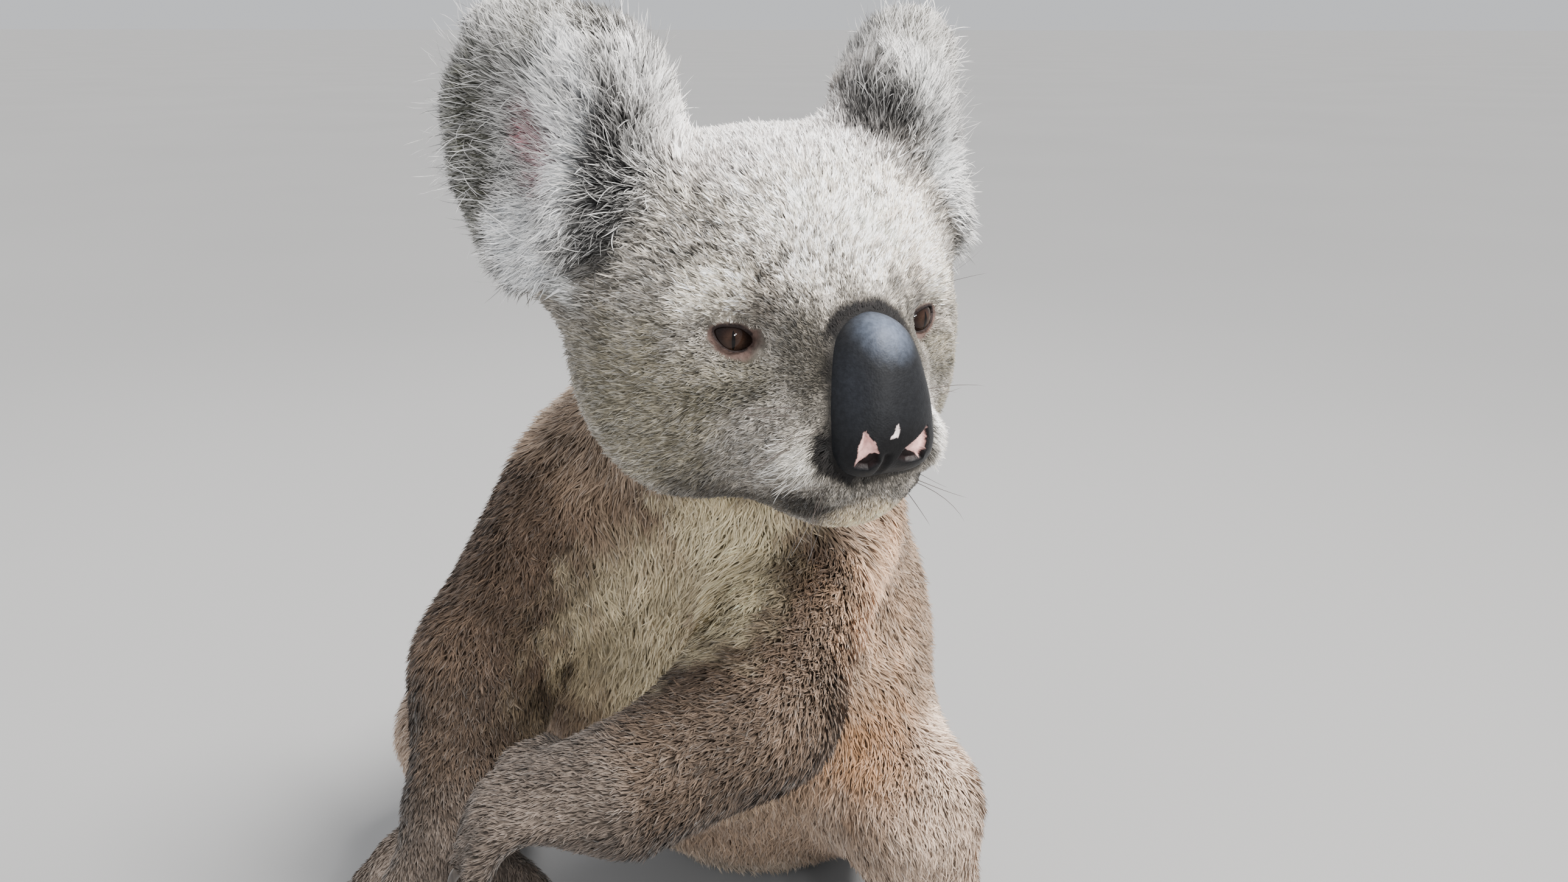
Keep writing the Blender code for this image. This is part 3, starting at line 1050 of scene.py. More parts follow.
KIND_COLOURS = {
    Kind.TRUNK: (134, 113, 94),
    Kind.NECK: (138, 119, 101),
    Kind.TAIL: (152, 139, 122),
    Kind.HEAD: (132, 126, 117),
    Kind.EAR: (122, 121, 119),
    Kind.UPPER_ARM: (95, 78, 64),
    Kind.FOREARM: (74, 61, 50),
    Kind.HAND: (86, 76, 68),
    Kind.LEG: (168, 147, 129),
    Kind.FOOT: (146, 131, 118),
}

# Patches on the trunk and limbs, each from the middle of a solid. The trunk's are from it only across.
BODY_PATCHES = (
    ("trunk", Patch((0.0, -0.060, 0.120), (0.075, 0.055, 0.130), (178, 159, 128), 0.6)),
    ("neck", Patch((0.022, -0.074, -0.066), (0.044, 0.060, 0.050), (211, 197, 162))),
    ("neck", Patch((-0.018, -0.058, -0.120), (0.046, 0.060, 0.066), (200, 185, 152), 0.95)),
    ("neck", Patch((0.0, 0.052, 0.014), (0.100, 0.085, 0.105), (110, 108, 103), 0.95, 0.8)),
    ("upper_arm_left", Patch((0.048, 0.045, 0.0), (0.034, 0.060, 0.085), (216, 176, 141), 0.95, 0.7)),
    # Painted shade under the chin, on top of the left upper arm.
    ("upper_arm_left", Patch((0.014, 0.012, 0.042), (0.022, 0.034, 0.024), (62, 45, 31), 0.85)),
    # Light-brown fur between arm and flank, partly painted light on the arm's sunlit outer side.
    ("upper_arm_left", Patch((0.036, 0.014, 0.016), (0.020, 0.034, 0.034), (176, 143, 115), 0.75, 0.9)),
    # Painted shade on the inner side of the left knee, towards the belly.
    ("leg_left", Patch((-0.014, -0.022, 0.042), (0.040, 0.045, 0.046), (136, 99, 66), 0.85, 0.9)),
    # Painted light on the top of the left knee.
    ("leg_left", Patch((0.020, 0.010, 0.036), (0.030, 0.040, 0.020), (214, 192, 172), 0.7)),
    ("forearm_left", Patch((-0.016, 0.0, -0.030), (0.040, 0.040, 0.030), (66, 54, 45), 0.8)),
    ("forearm_right", Patch((0.0, 0.0, -0.020), (0.040, 0.050, 0.040), (70, 58, 48), 0.7)),
    ("tail", Patch((0.0, -0.010, 0.020), (0.085, 0.070, 0.075), (172, 161, 147), 0.7, 1.0)),
    ("trunk", Patch((0.0, 0.060, 0.0), (0.150, 0.160, 0.060), (176, 163, 146), 0.7, 1.0)),
)

# Patches that both halves of the head have, given on the animal's right half.
HEAD_PATCHES = (
    # The pale crown and forehead: partly their own pale fur, partly painted light from above.
    Patch((0.0, -0.012, 0.058), (0.068, 0.062, 0.036), (247, 240, 236), 0.92),
    Patch((0.0, -0.060, 0.032), (0.042, 0.030, 0.030), (250, 242, 230), 0.92),
    # Darker lower cheeks: painted shade on the underside of the head.
    Patch((-0.058, -0.030, -0.034), (0.036, 0.048, 0.046), (114, 107, 88), 0.8),
    Patch((-0.040, -0.056, 0.008), (0.021, 0.020, 0.013), (222, 213, 196), 0.95),
    Patch((-0.040, -0.058, -0.020), (0.022, 0.020, 0.014), (67, 63, 51), 0.85),
    Patch((-0.046, -0.054, -0.0175), (0.013, 0.016, 0.005), (124, 117, 102), 0.6),
    Patch((-0.028, -0.062, 0.008), (0.007, 0.014, 0.014), (82, 75, 68), 0.8),
    Patch((-0.019, -0.070, -0.012), (0.010, 0.018, 0.026), (58, 54, 46), 0.85),
    Patch((-0.0235, -0.0800, -0.0385), (0.0110, 0.016, 0.0100), (200, 195, 184), 0.80, 1.0),
    Patch((-0.0745, -0.013, 0.006), (0.010, 0.014, 0.016), (226, 229, 229), 0.7),
    Patch((-0.0215, -0.073, -0.0585), (0.015, 0.016, 0.0085), (20, 16, 13), 0.95),
    Patch((0.0, -0.078, -0.066), (0.018, 0.018, 0.014), (222, 201, 163), 0.95),
    # Painted shade under the jaw.
    Patch((-0.034, -0.050, -0.066), (0.034, 0.044, 0.018), (48, 41, 29), 0.85),
)

# Patches of the head that only one half has.
HEAD_SIDE_PATCHES = (
    # Painted light: the sun's warm light on the left brow, above the left eye.
    Patch((0.030, -0.052, 0.026), (0.026, 0.030, 0.026), (250, 238, 222), 0.8),
    # The white hairs beside the mouth on the left, brighter than on the right as painted light on the sunlit
    # side.
    Patch((0.0225, -0.080, -0.030), (0.010, 0.014, 0.016), (240, 238, 233), 0.85, 0.9),
    Patch((-0.0640, -0.025, 0.036), (0.0130, 0.018, 0.032), (30, 29, 28), 0.94),
    Patch((-0.0690, -0.022, 0.016), (0.010, 0.016, 0.012), (56, 54, 52), 0.7),
    Patch((0.022, -0.020, 0.066), (0.018, 0.020, 0.012), (118, 116, 114), 0.7),
    Patch((0.028, -0.031, 0.057), (0.021, 0.019, 0.016), (20, 19, 19), 0.97),
    Patch((0.036, -0.036, 0.042), (0.012, 0.014, 0.012), (104, 100, 96), 0.7),
)

EAR_PATCHES = (
    Patch((-0.070, 0.000, 0.088), (0.034, 0.034, 0.022), (112, 110, 104), 0.85),
    Patch((-0.090, 0.030, 0.044), (0.016, 0.024, 0.050), (60, 60, 50), 0.95),
    Patch((-0.072, -0.012, 0.058), (0.010, 0.016, 0.036), (250, 252, 254), 1.0),
    Patch((-0.077, 0.002, 0.018), (0.022, 0.028, 0.019), (246, 249, 252), 0.95),
    Patch((-0.046, -0.016, 0.072), (0.018, 0.018, 0.024), (222, 222, 222), 0.85),
    Patch((-0.0632, -0.025, 0.040), (0.0118, 0.018, 0.036), (20, 19, 19), 0.97),
    Patch((-0.0740, 0.006, 0.050), (0.0060, 0.020, 0.020), (150, 96, 104), 0.9),
)

EAR_SIDE_PATCHES = (
    Patch((0.050, -0.030, 0.070), (0.024, 0.026, 0.026), (206, 208, 208), 0.8),
    Patch((0.054, -0.034, 0.034), (0.020, 0.026, 0.026), (246, 249, 250), 0.95),
    Patch((0.034, -0.030, 0.066), (0.014, 0.018, 0.016), (120, 118, 116), 0.8),
    Patch((0.028, -0.031, 0.057), (0.019, 0.019, 0.016), (20, 19, 19), 0.97),
)

# The long white hairs beside the mouth, and those of the ear's lobe: a middle and a reach on the head.
FRINGE = ((-0.0225, -0.0800, -0.0385), (0.0085, 0.012, 0.0085))
LOBE = ((-0.0770, 0.0000, 0.0200), (0.022, 0.030, 0.022))


@dataclass(frozen=True)
class Markings:
    """The coat's colours over the whole body, the same for skin and tufts, with some painted light and shade
    among its patches.
    """

    head: HeadFrame
    stray: Waves = Waves(0.014, 5)
    mottle: tuple[tuple[float, Waves], ...] = ((0.10, Waves(0.030, 11)), (0.07, Waves(0.007, 12)))
    nose_rim: Triple = (17, 14, 13)
    darkest: float = 0.004
    palest: float = 0.95

    @staticmethod
    def body_patches() -> list[Patch]:
        """Puts the patches of the trunk and limbs in their places.

        Returns:
            The patches, in the row's frame.
        """
        found = []
        for node, patch in BODY_PATCHES:
            anchor = box_middle(node) * np.array([1, 0, 0] if node == "trunk" else [1, 1, 1])
            found.append(replace(patch, centre=tuple(anchor + np.array(patch.centre))))
        return found

    def rim(self, points: Array, placed: Array, stray: Array) -> Array:
        """Finds how much of the dark hair round the nose shows.

        Args:
            points: The places.
            placed: The same places on the head.
            stray: How far the edge strays at each.

        Returns:
            A share for each.
        """
        away = nose_distance(points) + 0.0004 * stray
        above = ease(0.0054, 0.0030, away) * ease(-0.016, -0.006, placed[:, 2] + 0.35 * placed[:, 0])
        below = ease(0.0038, 0.0024, away) * ease(-0.026, -0.032, placed[:, 2])
        below *= ease(-0.006, -0.010, placed[:, 0])
        around = 0.85 * ease(0.0020, 0.0010, away)
        return np.maximum(np.maximum(above, below), around)

    def colours(self, points: Array, shares: Array) -> Array:
        """Finds the coat's colour at each place.

        Args:
            points: The places.
            shares: How much each belongs to each kind of coat.

        Returns:
            Linear colours.
        """
        stray = self.stray.at(points)
        placed = self.head.inside(points)
        halved = folded(placed)
        body = shares @ np.array([linear(*KIND_COLOURS[kind]) for kind in KINDS])
        face = laid(HEAD_SIDE_PATCHES, laid(HEAD_PATCHES, body, halved, stray), placed, stray)
        ear = laid(EAR_SIDE_PATCHES, laid(EAR_PATCHES, face, halved, stray), placed, stray)
        face = mixed(face, ear, ease(0.2, 0.8, share_of(shares, Kind.EAR)))
        face = mixed(face, linear(*self.nose_rim), self.rim(points, placed, stray))
        body = laid(self.body_patches(), body, points, stray)
        colours = mixed(body, face, ease(0.15, 0.75, share_of(shares, Kind.HEAD, Kind.EAR)))
        mottle = 1 + sum(strength * waves.at(points) for strength, waves in self.mottle)
        return np.clip(colours * mottle[:, None], self.darkest, self.palest)


# The bristles' places on the head's right half and how far they spread, and their sizes.
WHISKER_SPOTS = (
    ((-0.034, -0.0590, 0.0060), 0.0070),
    ((-0.0235, -0.0760, -0.0300), 0.0075),
    ((-0.0200, -0.0780, -0.0560), 0.0060),
)
WHISKER = CoatKind(
    0.0, 0.024, 0.00024, 52, 20, 4.5, 22, 0.0,
    gather=0.003, contrast=0.1, silver=0.45, dusk=0.0, gleam=0.6, curl=22, shade=0.9,
)

# The white hairs that hang beside the mouth.
FRINGE_SPOTS = (((-0.0240, -0.0785, -0.0400), 0.0070), ((-0.0275, -0.0740, -0.0450), 0.0050))
FRINGE_HAIR = CoatKind(
    0.0, 0.0085, 0.00028, 34, 14, 52.0, 16, 0.35,
    gather=0.0025, contrast=0.15, silver=0.8, dusk=0.0, gleam=0.9, curl=30, shade=0.5,
)

# The long loose silver hairs of the ears.
WISP = CoatKind(
    0.0, 0.0165, 0.00037, 58, 34, 9.0, 34, 0.30,
    gather=0.0045, contrast=0.15, silver=0.85, dusk=0.0, gleam=0.96, curl=60, shade=0.35,
)


@dataclass(frozen=True)
class Lie:
    """The direction in which the coat lies over the body."""

    head: HeadFrame
    skin: Skin
    body: tuple[tuple[Kind, Triple], ...] = (
        (Kind.TRUNK, (0.0, 0.30, -1.0)),
        (Kind.NECK, (0.0, 0.35, -1.0)),
        (Kind.TAIL, (0.0, 0.40, -1.0)),
    )
    nose: Triple = (0.0, -0.086, -0.018)  # The head's coat runs away from here.
    ear_root: Triple = (-0.046, -0.010, 0.034)  # And the right ear's from here.
    passes: int = 10
    lid_run: float = 0.007
    stray: tuple[tuple[float, Waves], ...] = ((0.22, Waves(0.045, 31)), (0.12, Waves(0.014, 41)))

    @staticmethod
    def runs() -> dict[str, Array]:
        """Finds the way that the coat runs on each limb, towards its end.

        Returns:
            A direction for each solid of the limbs, by its name.
        """
        found = {}
        for side, sign in SIDES.items():
            upper, fore, hand = (box_middle(name + side) for name in ("upper_arm_", "forearm_", "hand_"))
            found["upper_arm_" + side] = fore - upper
            found["forearm_" + side] = found["hand_" + side] = hand - fore
            downward = box_middle("foot_" + side) - box_middle("leg_" + side)
            found["leg_" + side] = downward + np.array([0.0, -0.02, 0.0])
            found["foot_" + side] = np.array([sign * 0.25, -1.0, -0.1])
        return found

    def at(self, points: Array, shares: Array) -> Array:
        """Finds the lie at each point of the skin, along the skin.

        Args:
            points: The skin's points.
            shares: How much each belongs to each kind of coat.

        Returns:
            A unit vector for each.
        """
        way = np.zeros_like(points)
        low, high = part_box("trunk")
        runs = self.runs()
        for kind in LIMBS:
            for side, sign in SIDES.items():
                beside = np.sign(points[:, 0] - (low.x + high.x) / 2) == sign
                if kind in (Kind.FOREARM, Kind.HAND):
                    beside = nearer_limb(points, kind, side)
                way += (share_of(shares, kind) * beside)[:, None] * unit(runs[f"{kind.value}_{side}"])
        for kind, down in self.body:
            way += share_of(shares, kind)[:, None] * np.array(down)
        placed = self.head.inside(points)
        from_nose = unit(placed - np.array(self.nose))
        from_root = unit(folded(placed) - np.array(self.ear_root))
        from_root[:, 0] *= -np.sign(placed[:, 0])
        for kind, course in ((Kind.HEAD, from_nose), (Kind.EAR, from_root)):
            way += share_of(shares, kind)[:, None] * (course @ self.head.axes.T)
        way = self.skin.surface.eased(way, self.passes)
        for opening in self.skin.openings:
            local = opening.local(points)
            away = unit(local * np.array([1.0, 0.0, 1.0])) @ opening.axes().T
            near = 1 - ease(0.0, self.lid_run, opening.clearance(local))
            way = mixed(unit(way), away, near)
        way += sum(strength * waves.vectors(points) for strength, waves in self.stray)
        normals = self.skin.normals
        return unit(way - normals * (way * normals).sum(axis=1, keepdims=True))


@dataclass
class Roots:
    """Where tufts grow, and what the skin is like there.

    Attributes:
        places: The roots.
        normals: The skin's outward direction.
        ways: The lie of the coat.
        colours: The coat's colour.
        fields: The coat's sizes, one column for each of COAT_FIELDS.
        maps: The root's place on the unwrapped skin.
    """

    places: Array
    normals: Array
    ways: Array
    colours: Array
    fields: dict[str, Array]
    maps: Array

    def __len__(self) -> int:
        """The number of roots."""
        return len(self.places)


# The power of the face's short share that each size is multiplied by.
FACE_POWERS = {"length": 1.0, "width": 0.6, "gather": 0.3, "crowd": -0.45}
# What sizes gain on the back of the head and on its top, as a share of themselves.
NAPE_GAINS = {"crowd": -0.62, "width": 0.35}
CROWN_GAINS = {"contrast": 1.1, "dusk": 0.8, "soot": -0.35}
# The pieces whose tufts have three stretches, because they are long.
LONG_COATS = ("coat_ear_left", "coat_ear_right", "coat_neck")


@dataclass
class Coat:
    """The fur: joined meshes of small tapered tufts, each part of the body its own piece.

    Attributes:
        skin: The skin that it grows from.
        markings: Its colours.
        lie: Its direction.
        thin: The share of the tufts that grows.
        patch: The size of a tuft's patch on the unwrapped skin.
        edge: How far the coat stays from the border of the map.
        rooted: How far the roots lie under the skin.
        lengths: The least and the most of its length that a tuft has.
        widths: The same for its width.
        turns: How far a tuft's rise strays.
        roll: How far it turns about its own length.
        taper: How its width falls off: the power, and the share that goes.
        softness: How much the skin's normals count in the tufts' own.
        silver: The colour that pale tips come near to.
        strand_steps: The stretches along a single long hair.
    """

    skin: Skin
    markings: Markings
    lie: Lie
    thin: float = 0.965
    patch: float = 0.003
    edge: float = 0.0005
    rooted: float = 0.0004
    lengths: Pair = (0.70, 1.25)
    widths: Pair = (0.75, 1.25)
    turns: float = 7.0
    roll: float = 0.45
    taper: Pair = (1.6, 0.75)
    softness: float = 0.62
    silver: Triple = (238, 236, 233)
    strand_steps: int = 6

    def point_fields(self) -> dict[str, Array]:
        """Finds the coat's sizes at each point of the skin.

        Returns:
            One value for each point, by the size's name.
        """
        points, shares = self.skin.surface.points, self.skin.weights
        table = np.array([[getattr(COATS[kind], name) for name in COAT_FIELDS] for kind in KINDS])
        found = {name: shares @ column for name, column in zip(COAT_FIELDS, table.T.copy())}
        placed = self.skin.head.inside(points)
        share = face_share(placed)
        for name, power in FACE_POWERS.items():
            found[name] *= share**power
        head, ear = share_of(shares, Kind.HEAD), share_of(shares, Kind.EAR)
        for gains, where in (
            (NAPE_GAINS, ease(-0.020, 0.020, placed[:, 1]) * head),
            (CROWN_GAINS, ease(-0.010, 0.020, placed[:, 2]) * head),
        ):
            for name, gain in gains.items():
                found[name] *= 1 + gain * where
        found["silver"] *= ease(0.0022, 0.0055, nose_distance(points))
        halved = folded(placed)
        found["length"] *= 1 + 2.4 * ease(1.3, 0.5, far_out(halved, *FRINGE)) * head
        found["length"] *= 1 - 0.40 * ease(-0.082, -0.092, halved[:, 0]) * ear
        found["length"] *= 1 + 0.55 * ease(1.3, 0.5, far_out(halved, *LOBE))
        self.bare_spots(points, found)
        return found

    def bare_spots(self, points: Array, found: dict[str, Array]) -> None:
        """Thins the coat where the body is bare: the lids, under the nose, and where it rests on the floor.

        Args:
            points: The skin's points.
            found: The coat's sizes there, which it changes.
        """
        bare = (nose_distance(points) < 0.0002) | (points[:, 2] < 0.0016)
        for opening in self.skin.openings:
            local = opening.local(points)
            clear = opening.clearance(local)
            bare |= (clear < opening.bare_edge(local)) & (opening.on_lid(local) > 0.5)
            short = 0.38 + 0.62 * ease(0.0005, 0.008, clear)
            found["length"] *= short
            found["width"] *= short**0.5
        found["crowd"][bare] = 0.0
        found["length"] *= 0.45 + 0.55 * ease(0.002, 0.016, points[:, 2])

    def groups(self) -> dict[str, Array]:
        """Sorts the faces of the skin into the pieces of the coat.

        Returns:
            A mark for each face, by the piece's name.
        """
        surface = self.skin.surface
        kinds = np.argmax(self.skin.weights[surface.faces].sum(axis=1), axis=1)
        centres = surface.points[surface.faces].mean(axis=1)
        placed = self.skin.head.inside(centres)
        left = placed[:, 0] > 0
        back = placed[:, 1] > -0.012
        crown = (placed[:, 2] > 0.030) & ~back
        low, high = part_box("trunk")
        front = centres[:, 1] < (low.y + high.y) / 2
        middle = (low.x + high.x) / 2

        def covered(*wanted: Kind) -> Array:
            """Marks the faces of some kinds."""
            return np.isin(kinds, [KINDS.index(kind) for kind in wanted])

        head, trunk = covered(Kind.HEAD), covered(Kind.TRUNK, Kind.TAIL)
        groups = {
            "coat_nape": head & back,
            "coat_crown": head & crown,
            "coat_face_left": head & ~back & ~crown & left,
            "coat_face_right": head & ~back & ~crown & ~left,
            "coat_neck": covered(Kind.NECK),
            "coat_front": trunk & front,
            "coat_back": trunk & ~front,
        }
        for side, sign in SIDES.items():
            beside = (centres[:, 0] - middle) * sign > 0
            groups["coat_ear_" + side] = covered(Kind.EAR) & (left == (sign > 0))
            groups["coat_leg_" + side] = covered(Kind.LEG, Kind.FOOT) & beside
            arms = [covered(kind) & nearer_limb(centres, kind, side) for kind in LIMBS[:3]]
            groups["coat_arm_" + side] = np.any(arms, axis=0)
        return groups

    def unwrap(self, faces: Array) -> Array:
        """Unwraps some faces of the skin by their own shape.

        Args:
            faces: The faces' point numbers.

        Returns:
            The place of each face's three corners on the map.
        """
        used, renumbered = np.unique(faces, return_inverse=True)
        mesh = new_mesh("unwrap", self.skin.surface.points[used], renumbered.reshape(-1, 3))
        item = new_object("unwrap", mesh)
        bpy.ops.object.select_all(action="DESELECT")
        item.select_set(True)
        bpy.context.view_layer.objects.active = item
        mesh.uv_layers.new(name=BAKE_MAP)
        bpy.ops.object.mode_set(mode="EDIT")
        bpy.ops.mesh.select_all(action="SELECT")
        bpy.ops.uv.smart_project(angle_limit=radians(70), island_margin=0.004)
        bpy.ops.object.mode_set(mode="OBJECT")
        places = np.empty(len(mesh.loops) * 2)
        mesh.uv_layers[BAKE_MAP].data.foreach_get("uv", places)
        bpy.data.objects.remove(item)
        bpy.data.meshes.remove(mesh)
        return places.reshape(-1, 3, 2)

    def scatter(
        self, chosen: Array, fields: dict[str, Array], ways: Array, colours: Array, seed: int
    ) -> Roots:
        """Spreads roots over some faces of the skin.

        Args:
            chosen: Marks the faces.
            fields: The coat's sizes at each point of the skin.
            ways: The lie at each point.
            colours: The colour at each point.
            seed: Chooses one spread.

        Returns:
            The roots.
        """
        chance = np.random.default_rng(seed)
        surface = self.skin.surface
        faces = surface.faces[chosen]
        crowd = fields["crowd"][faces].min(axis=1) * SQUARE_CENTIMETRES * surface.areas()[chosen] * self.thin
        total = np.cumsum(crowd)
        count = int(total[-1])
        picked = np.searchsorted(total, chance.uniform(0, total[-1], count))
        first, second = chance.uniform(size=(2, count))
        over = first + second > 1
        first, second = np.where(over, 1 - first, first), np.where(over, 1 - second, second)
        parts = np.stack([1 - first - second, first, second], axis=1)
        corners = faces[picked]

        def blend(values: Array) -> Array:
            """Mixes the values at a root's three corners."""
            return (values[corners] * parts.reshape(parts.shape + (1,) * (values.ndim - 1))).sum(axis=1)

        maps = (self.unwrap(faces)[picked] * parts[:, :, None]).sum(axis=1)
        return Roots(
            blend(surface.points),
            unit(blend(self.skin.normals)),
            unit(blend(ways)),
            blend(colours),
            {name: blend(values) for name, values in fields.items()},
            maps,
        )

    @staticmethod
    def bunches(roots: Roots, chance: np.random.Generator) -> Array:
        """Sorts the tufts into small bunches of neighbours.

        Args:
            roots: The tufts' roots.
            chance: The source of chance.

        Returns:
            The number of each tuft's bunch.
        """
        size = np.median(roots.fields["gather"])
        stray = chance.normal(0, 0.25, roots.places.shape) * size
        cells = np.floor((roots.places + stray) / size).astype(np.int64)
        keys = cells @ np.array([73856093, 19349663, 83492791])
        return np.unique(keys, return_inverse=True)[1]

    @staticmethod
    def drawn(roots: Roots, tips: Array, bunches: Array) -> Array:
        """How far each tuft's tip moves towards the middle of its bunch."""
        totals = np.stack([np.bincount(bunches, tips[:, axis]) for axis in range(3)], axis=1)
        return ((totals / np.bincount(bunches)[:, None])[bunches] - tips) * roots.fields["bunch"][:, None]

    def grow(self, name: str, roots: Roots, seed: int, steps: int) -> Piece:
        """Grows one tuft from each root.

        Args:
            name: The piece's name.
            roots: The roots.
            seed: Chooses one growth.
            steps: The stretches along a tuft, the last of which comes to a point.

        Returns:
            The piece.
        """
        chance = np.random.default_rng(seed)
        count = len(roots)
        fields = roots.fields
        spin = DEGREE * fields["loose"] * chance.normal(size=count)
        aside = np.cross(roots.normals, roots.ways)
        ways = unit(roots.ways * np.cos(spin)[:, None] + aside * np.sin(spin)[:, None])
        sides = np.cross(roots.normals, ways)
        length = fields["length"] * chance.uniform(*self.lengths, count)
        width = fields["width"] * chance.uniform(*self.widths, count)
        rise = DEGREE * (fields["rise"] + self.turns * chance.normal(size=count))
        settle = DEGREE * (fields["settle"] + self.turns * chance.normal(size=count))
        bend = DEGREE * fields["curl"] * chance.normal(size=count)
        spine = [roots.places - roots.normals * self.rooted]
        for step in range(steps):
            part = (step + 0.5) / steps
            angle = rise * (1 - part) + settle * part
            swing = bend * (part - 0.2)
            course = ways * np.cos(swing)[:, None] + sides * np.sin(swing)[:, None]
            ahead = course * np.cos(angle)[:, None] + roots.normals * np.sin(angle)[:, None]
            spine.append(spine[-1] + ahead * (length / steps)[:, None])
        bunches = self.bunches(roots, chance)
        draw = self.drawn(roots, spine[-1], bunches)
        roll = chance.normal(0, self.roll, count)
        flat = sides * np.cos(roll)[:, None] + roots.normals * np.sin(roll)[:, None]
        rows, shades, uvs = [], [], []
        power, lost = self.taper
        taper = 1.0 - (np.arange(steps) / steps) ** power * lost
        turn = chance.uniform(0, 2 * pi, count)
        across = np.stack([np.cos(turn), np.sin(turn)], axis=1) * self.patch * 0.5
        along = np.stack([-np.sin(turn), np.cos(turn)], axis=1) * self.patch * 0.5
        for step in range(steps):
            middle = spine[step] + draw * (step / steps) ** 1.5
            half = flat * (width * taper[step] / 2)[:, None]
            rows += [middle - half, middle + half]
            up = along * (2 * step / steps - 1)
            uvs += [roots.maps - across + up, roots.maps + across + up]
            shades += [step / steps] * 2
        rows.append(spine[-1] + draw)
        uvs.append(roots.maps + along)
        shades.append(1.0)
        points = np.stack(rows, axis=1)
        points[:, :, 2] = np.maximum(points[:, :, 2], FLOOR_CLEARANCE)
        colours = self.tuft_colours(roots, np.array(shades), bunches, chance)
        return self.tuft_mesh(name, points, colours, np.stack(uvs, axis=1), roots, steps)

    def tuft_colours(
        self, roots: Roots, shades: Array, bunches: Array, chance: np.random.Generator
    ) -> Array:
        """Colours every point of every tuft: dark at the root, and pale or dark at some tips.

        Args:
            roots: The roots.
            shades: How far along its tuft each point of a tuft lies.
            bunches: The number of each tuft's bunch.
            chance: The source of chance.

        Returns:
            Linear colours, by tuft and point.
        """
        count = len(roots)
        contrast = roots.fields["contrast"]
        together = chance.normal(size=bunches.max() + 1)[bunches]
        alone = chance.normal(size=count)
        body = roots.colours * np.exp(contrast * together + 0.7 * contrast * alone)[:, None]
        draw = chance.uniform(size=count)
        silver = (draw < roots.fields["silver"])[:, None]
        dusk = (draw > 1 - roots.fields["dusk"])[:, None]
        gleam = roots.fields["gleam"] * (0.30 + 0.70 * ease(0.02, 0.30, roots.colours.mean(axis=1)))
        pale = body + (linear(*self.silver) - body) * gleam[:, None]
        tip = np.where(silver, pale, np.where(dusk, body * roots.fields["soot"][:, None], body * 1.10))
        root = body * roots.fields["shade"][:, None]
        part = shades[None, :, None]
        low = root[:, None] + (body - root)[:, None] * np.clip(part * 2, 0, 1)
        tipward = ease(0.40, 0.95, part)
        return np.clip(low * (1 - tipward) + tip[:, None] * tipward, 0.002, 0.92)

    def tuft_mesh(
        self, name: str, points: Array, colours: Array, uvs: Array, roots: Roots, steps: int
    ) -> Piece:
        """Joins all the tufts of a piece into one mesh.

        Args:
            name: The piece's name.
            points: Places by tuft and point.
            colours: Colours by tuft and point.
            uvs: Map places by tuft and point.
            roots: The roots.
            steps: The stretches along a tuft.

        Returns:
            The piece.
        """
        count, size = points.shape[:2]
        pattern = []
        for step in range(steps - 1):
            near = 2 * step
            pattern += [(near, near + 1, near + 3), (near, near + 3, near + 2)]
        pattern.append((2 * steps - 2, 2 * steps - 1, 2 * steps))
        pattern = np.array(pattern)
        faces = (np.arange(count)[:, None, None] * size + pattern[None]).reshape(-1, 3)
        flat = points.reshape(-1, 3)
        corners = flat[faces[:: len(pattern)]]
        facing = np.cross(corners[:, 1] - corners[:, 0], corners[:, 2] - corners[:, 0])
        turned = (facing * roots.normals).sum(axis=1) < 0
        wrong = np.repeat(turned, len(pattern))
        faces[wrong] = faces[wrong][:, ::-1]
        mesh = new_mesh(name, flat, faces)
        paint(mesh, "coat", colours.reshape(-1, 3))
        layer = mesh.uv_layers.new(name=BAKE_MAP)
        places = np.clip(uvs.reshape(-1, 2)[faces.ravel()], self.edge, 1 - self.edge)
        layer.data.foreach_set("uv", places.astype(np.float32).ravel())
        facing = unit(facing) * np.where(turned, -1.0, 1.0)[:, None]
        soft = unit(roots.normals * self.softness + facing * (1 - self.softness))
        mesh.normals_split_custom_set_from_vertices(np.repeat(soft, size, axis=0))
        LOG.info("%s: %d tufts, %d triangles", name, count, len(faces))
        return new_object(name, mesh)

    def build(self) -> list[Piece]:
        """Grows the coat over the whole body.

        Returns:
            Its pieces.
        """
        surface = self.skin.surface
        fields = self.point_fields()
        ways = self.lie.at(surface.points, self.skin.weights)
        colours = self.markings.colours(surface.points, self.skin.weights)
        pieces = []
        for number, (name, chosen) in enumerate(self.groups().items()):
            roots = self.scatter(chosen, fields, ways, colours, 100 + number)
            steps = 3 if name in LONG_COATS else 2
            pieces.append(self.grow(name, roots, 200 + number, steps))
        bristles, fringe = self.spot_faces(WHISKER_SPOTS), self.spot_faces(FRINGE_SPOTS)
        pieces.append(self.strands("coat_whiskers", bristles, WHISKER, (62, 55, 51), ways, 90))
        pieces.append(self.strands("coat_wisps", self.wisp_faces(), WISP, (142, 142, 141), ways, 92))
        pieces.append(self.strands("coat_fringe", fringe, FRINGE_HAIR, (190, 186, 178), ways, 94))
        return pieces

    def spot_faces(self, spots: tuple[tuple[Triple, float], ...]) -> Array:
        """Finds the faces of the skin near some spots, on both sides of the head.

        Args:
            spots: Each spot's place on the head's right half, and its radius.

        Returns:
            A mark for each face.
        """
        surface = self.skin.surface
        placed = folded(self.skin.head.inside(surface.points[surface.faces].mean(axis=1)))
        chosen = np.zeros(len(placed), bool)
        for spot, reach in spots:
            chosen |= np.linalg.norm(placed - np.array(spot), axis=1) < reach
        return chosen

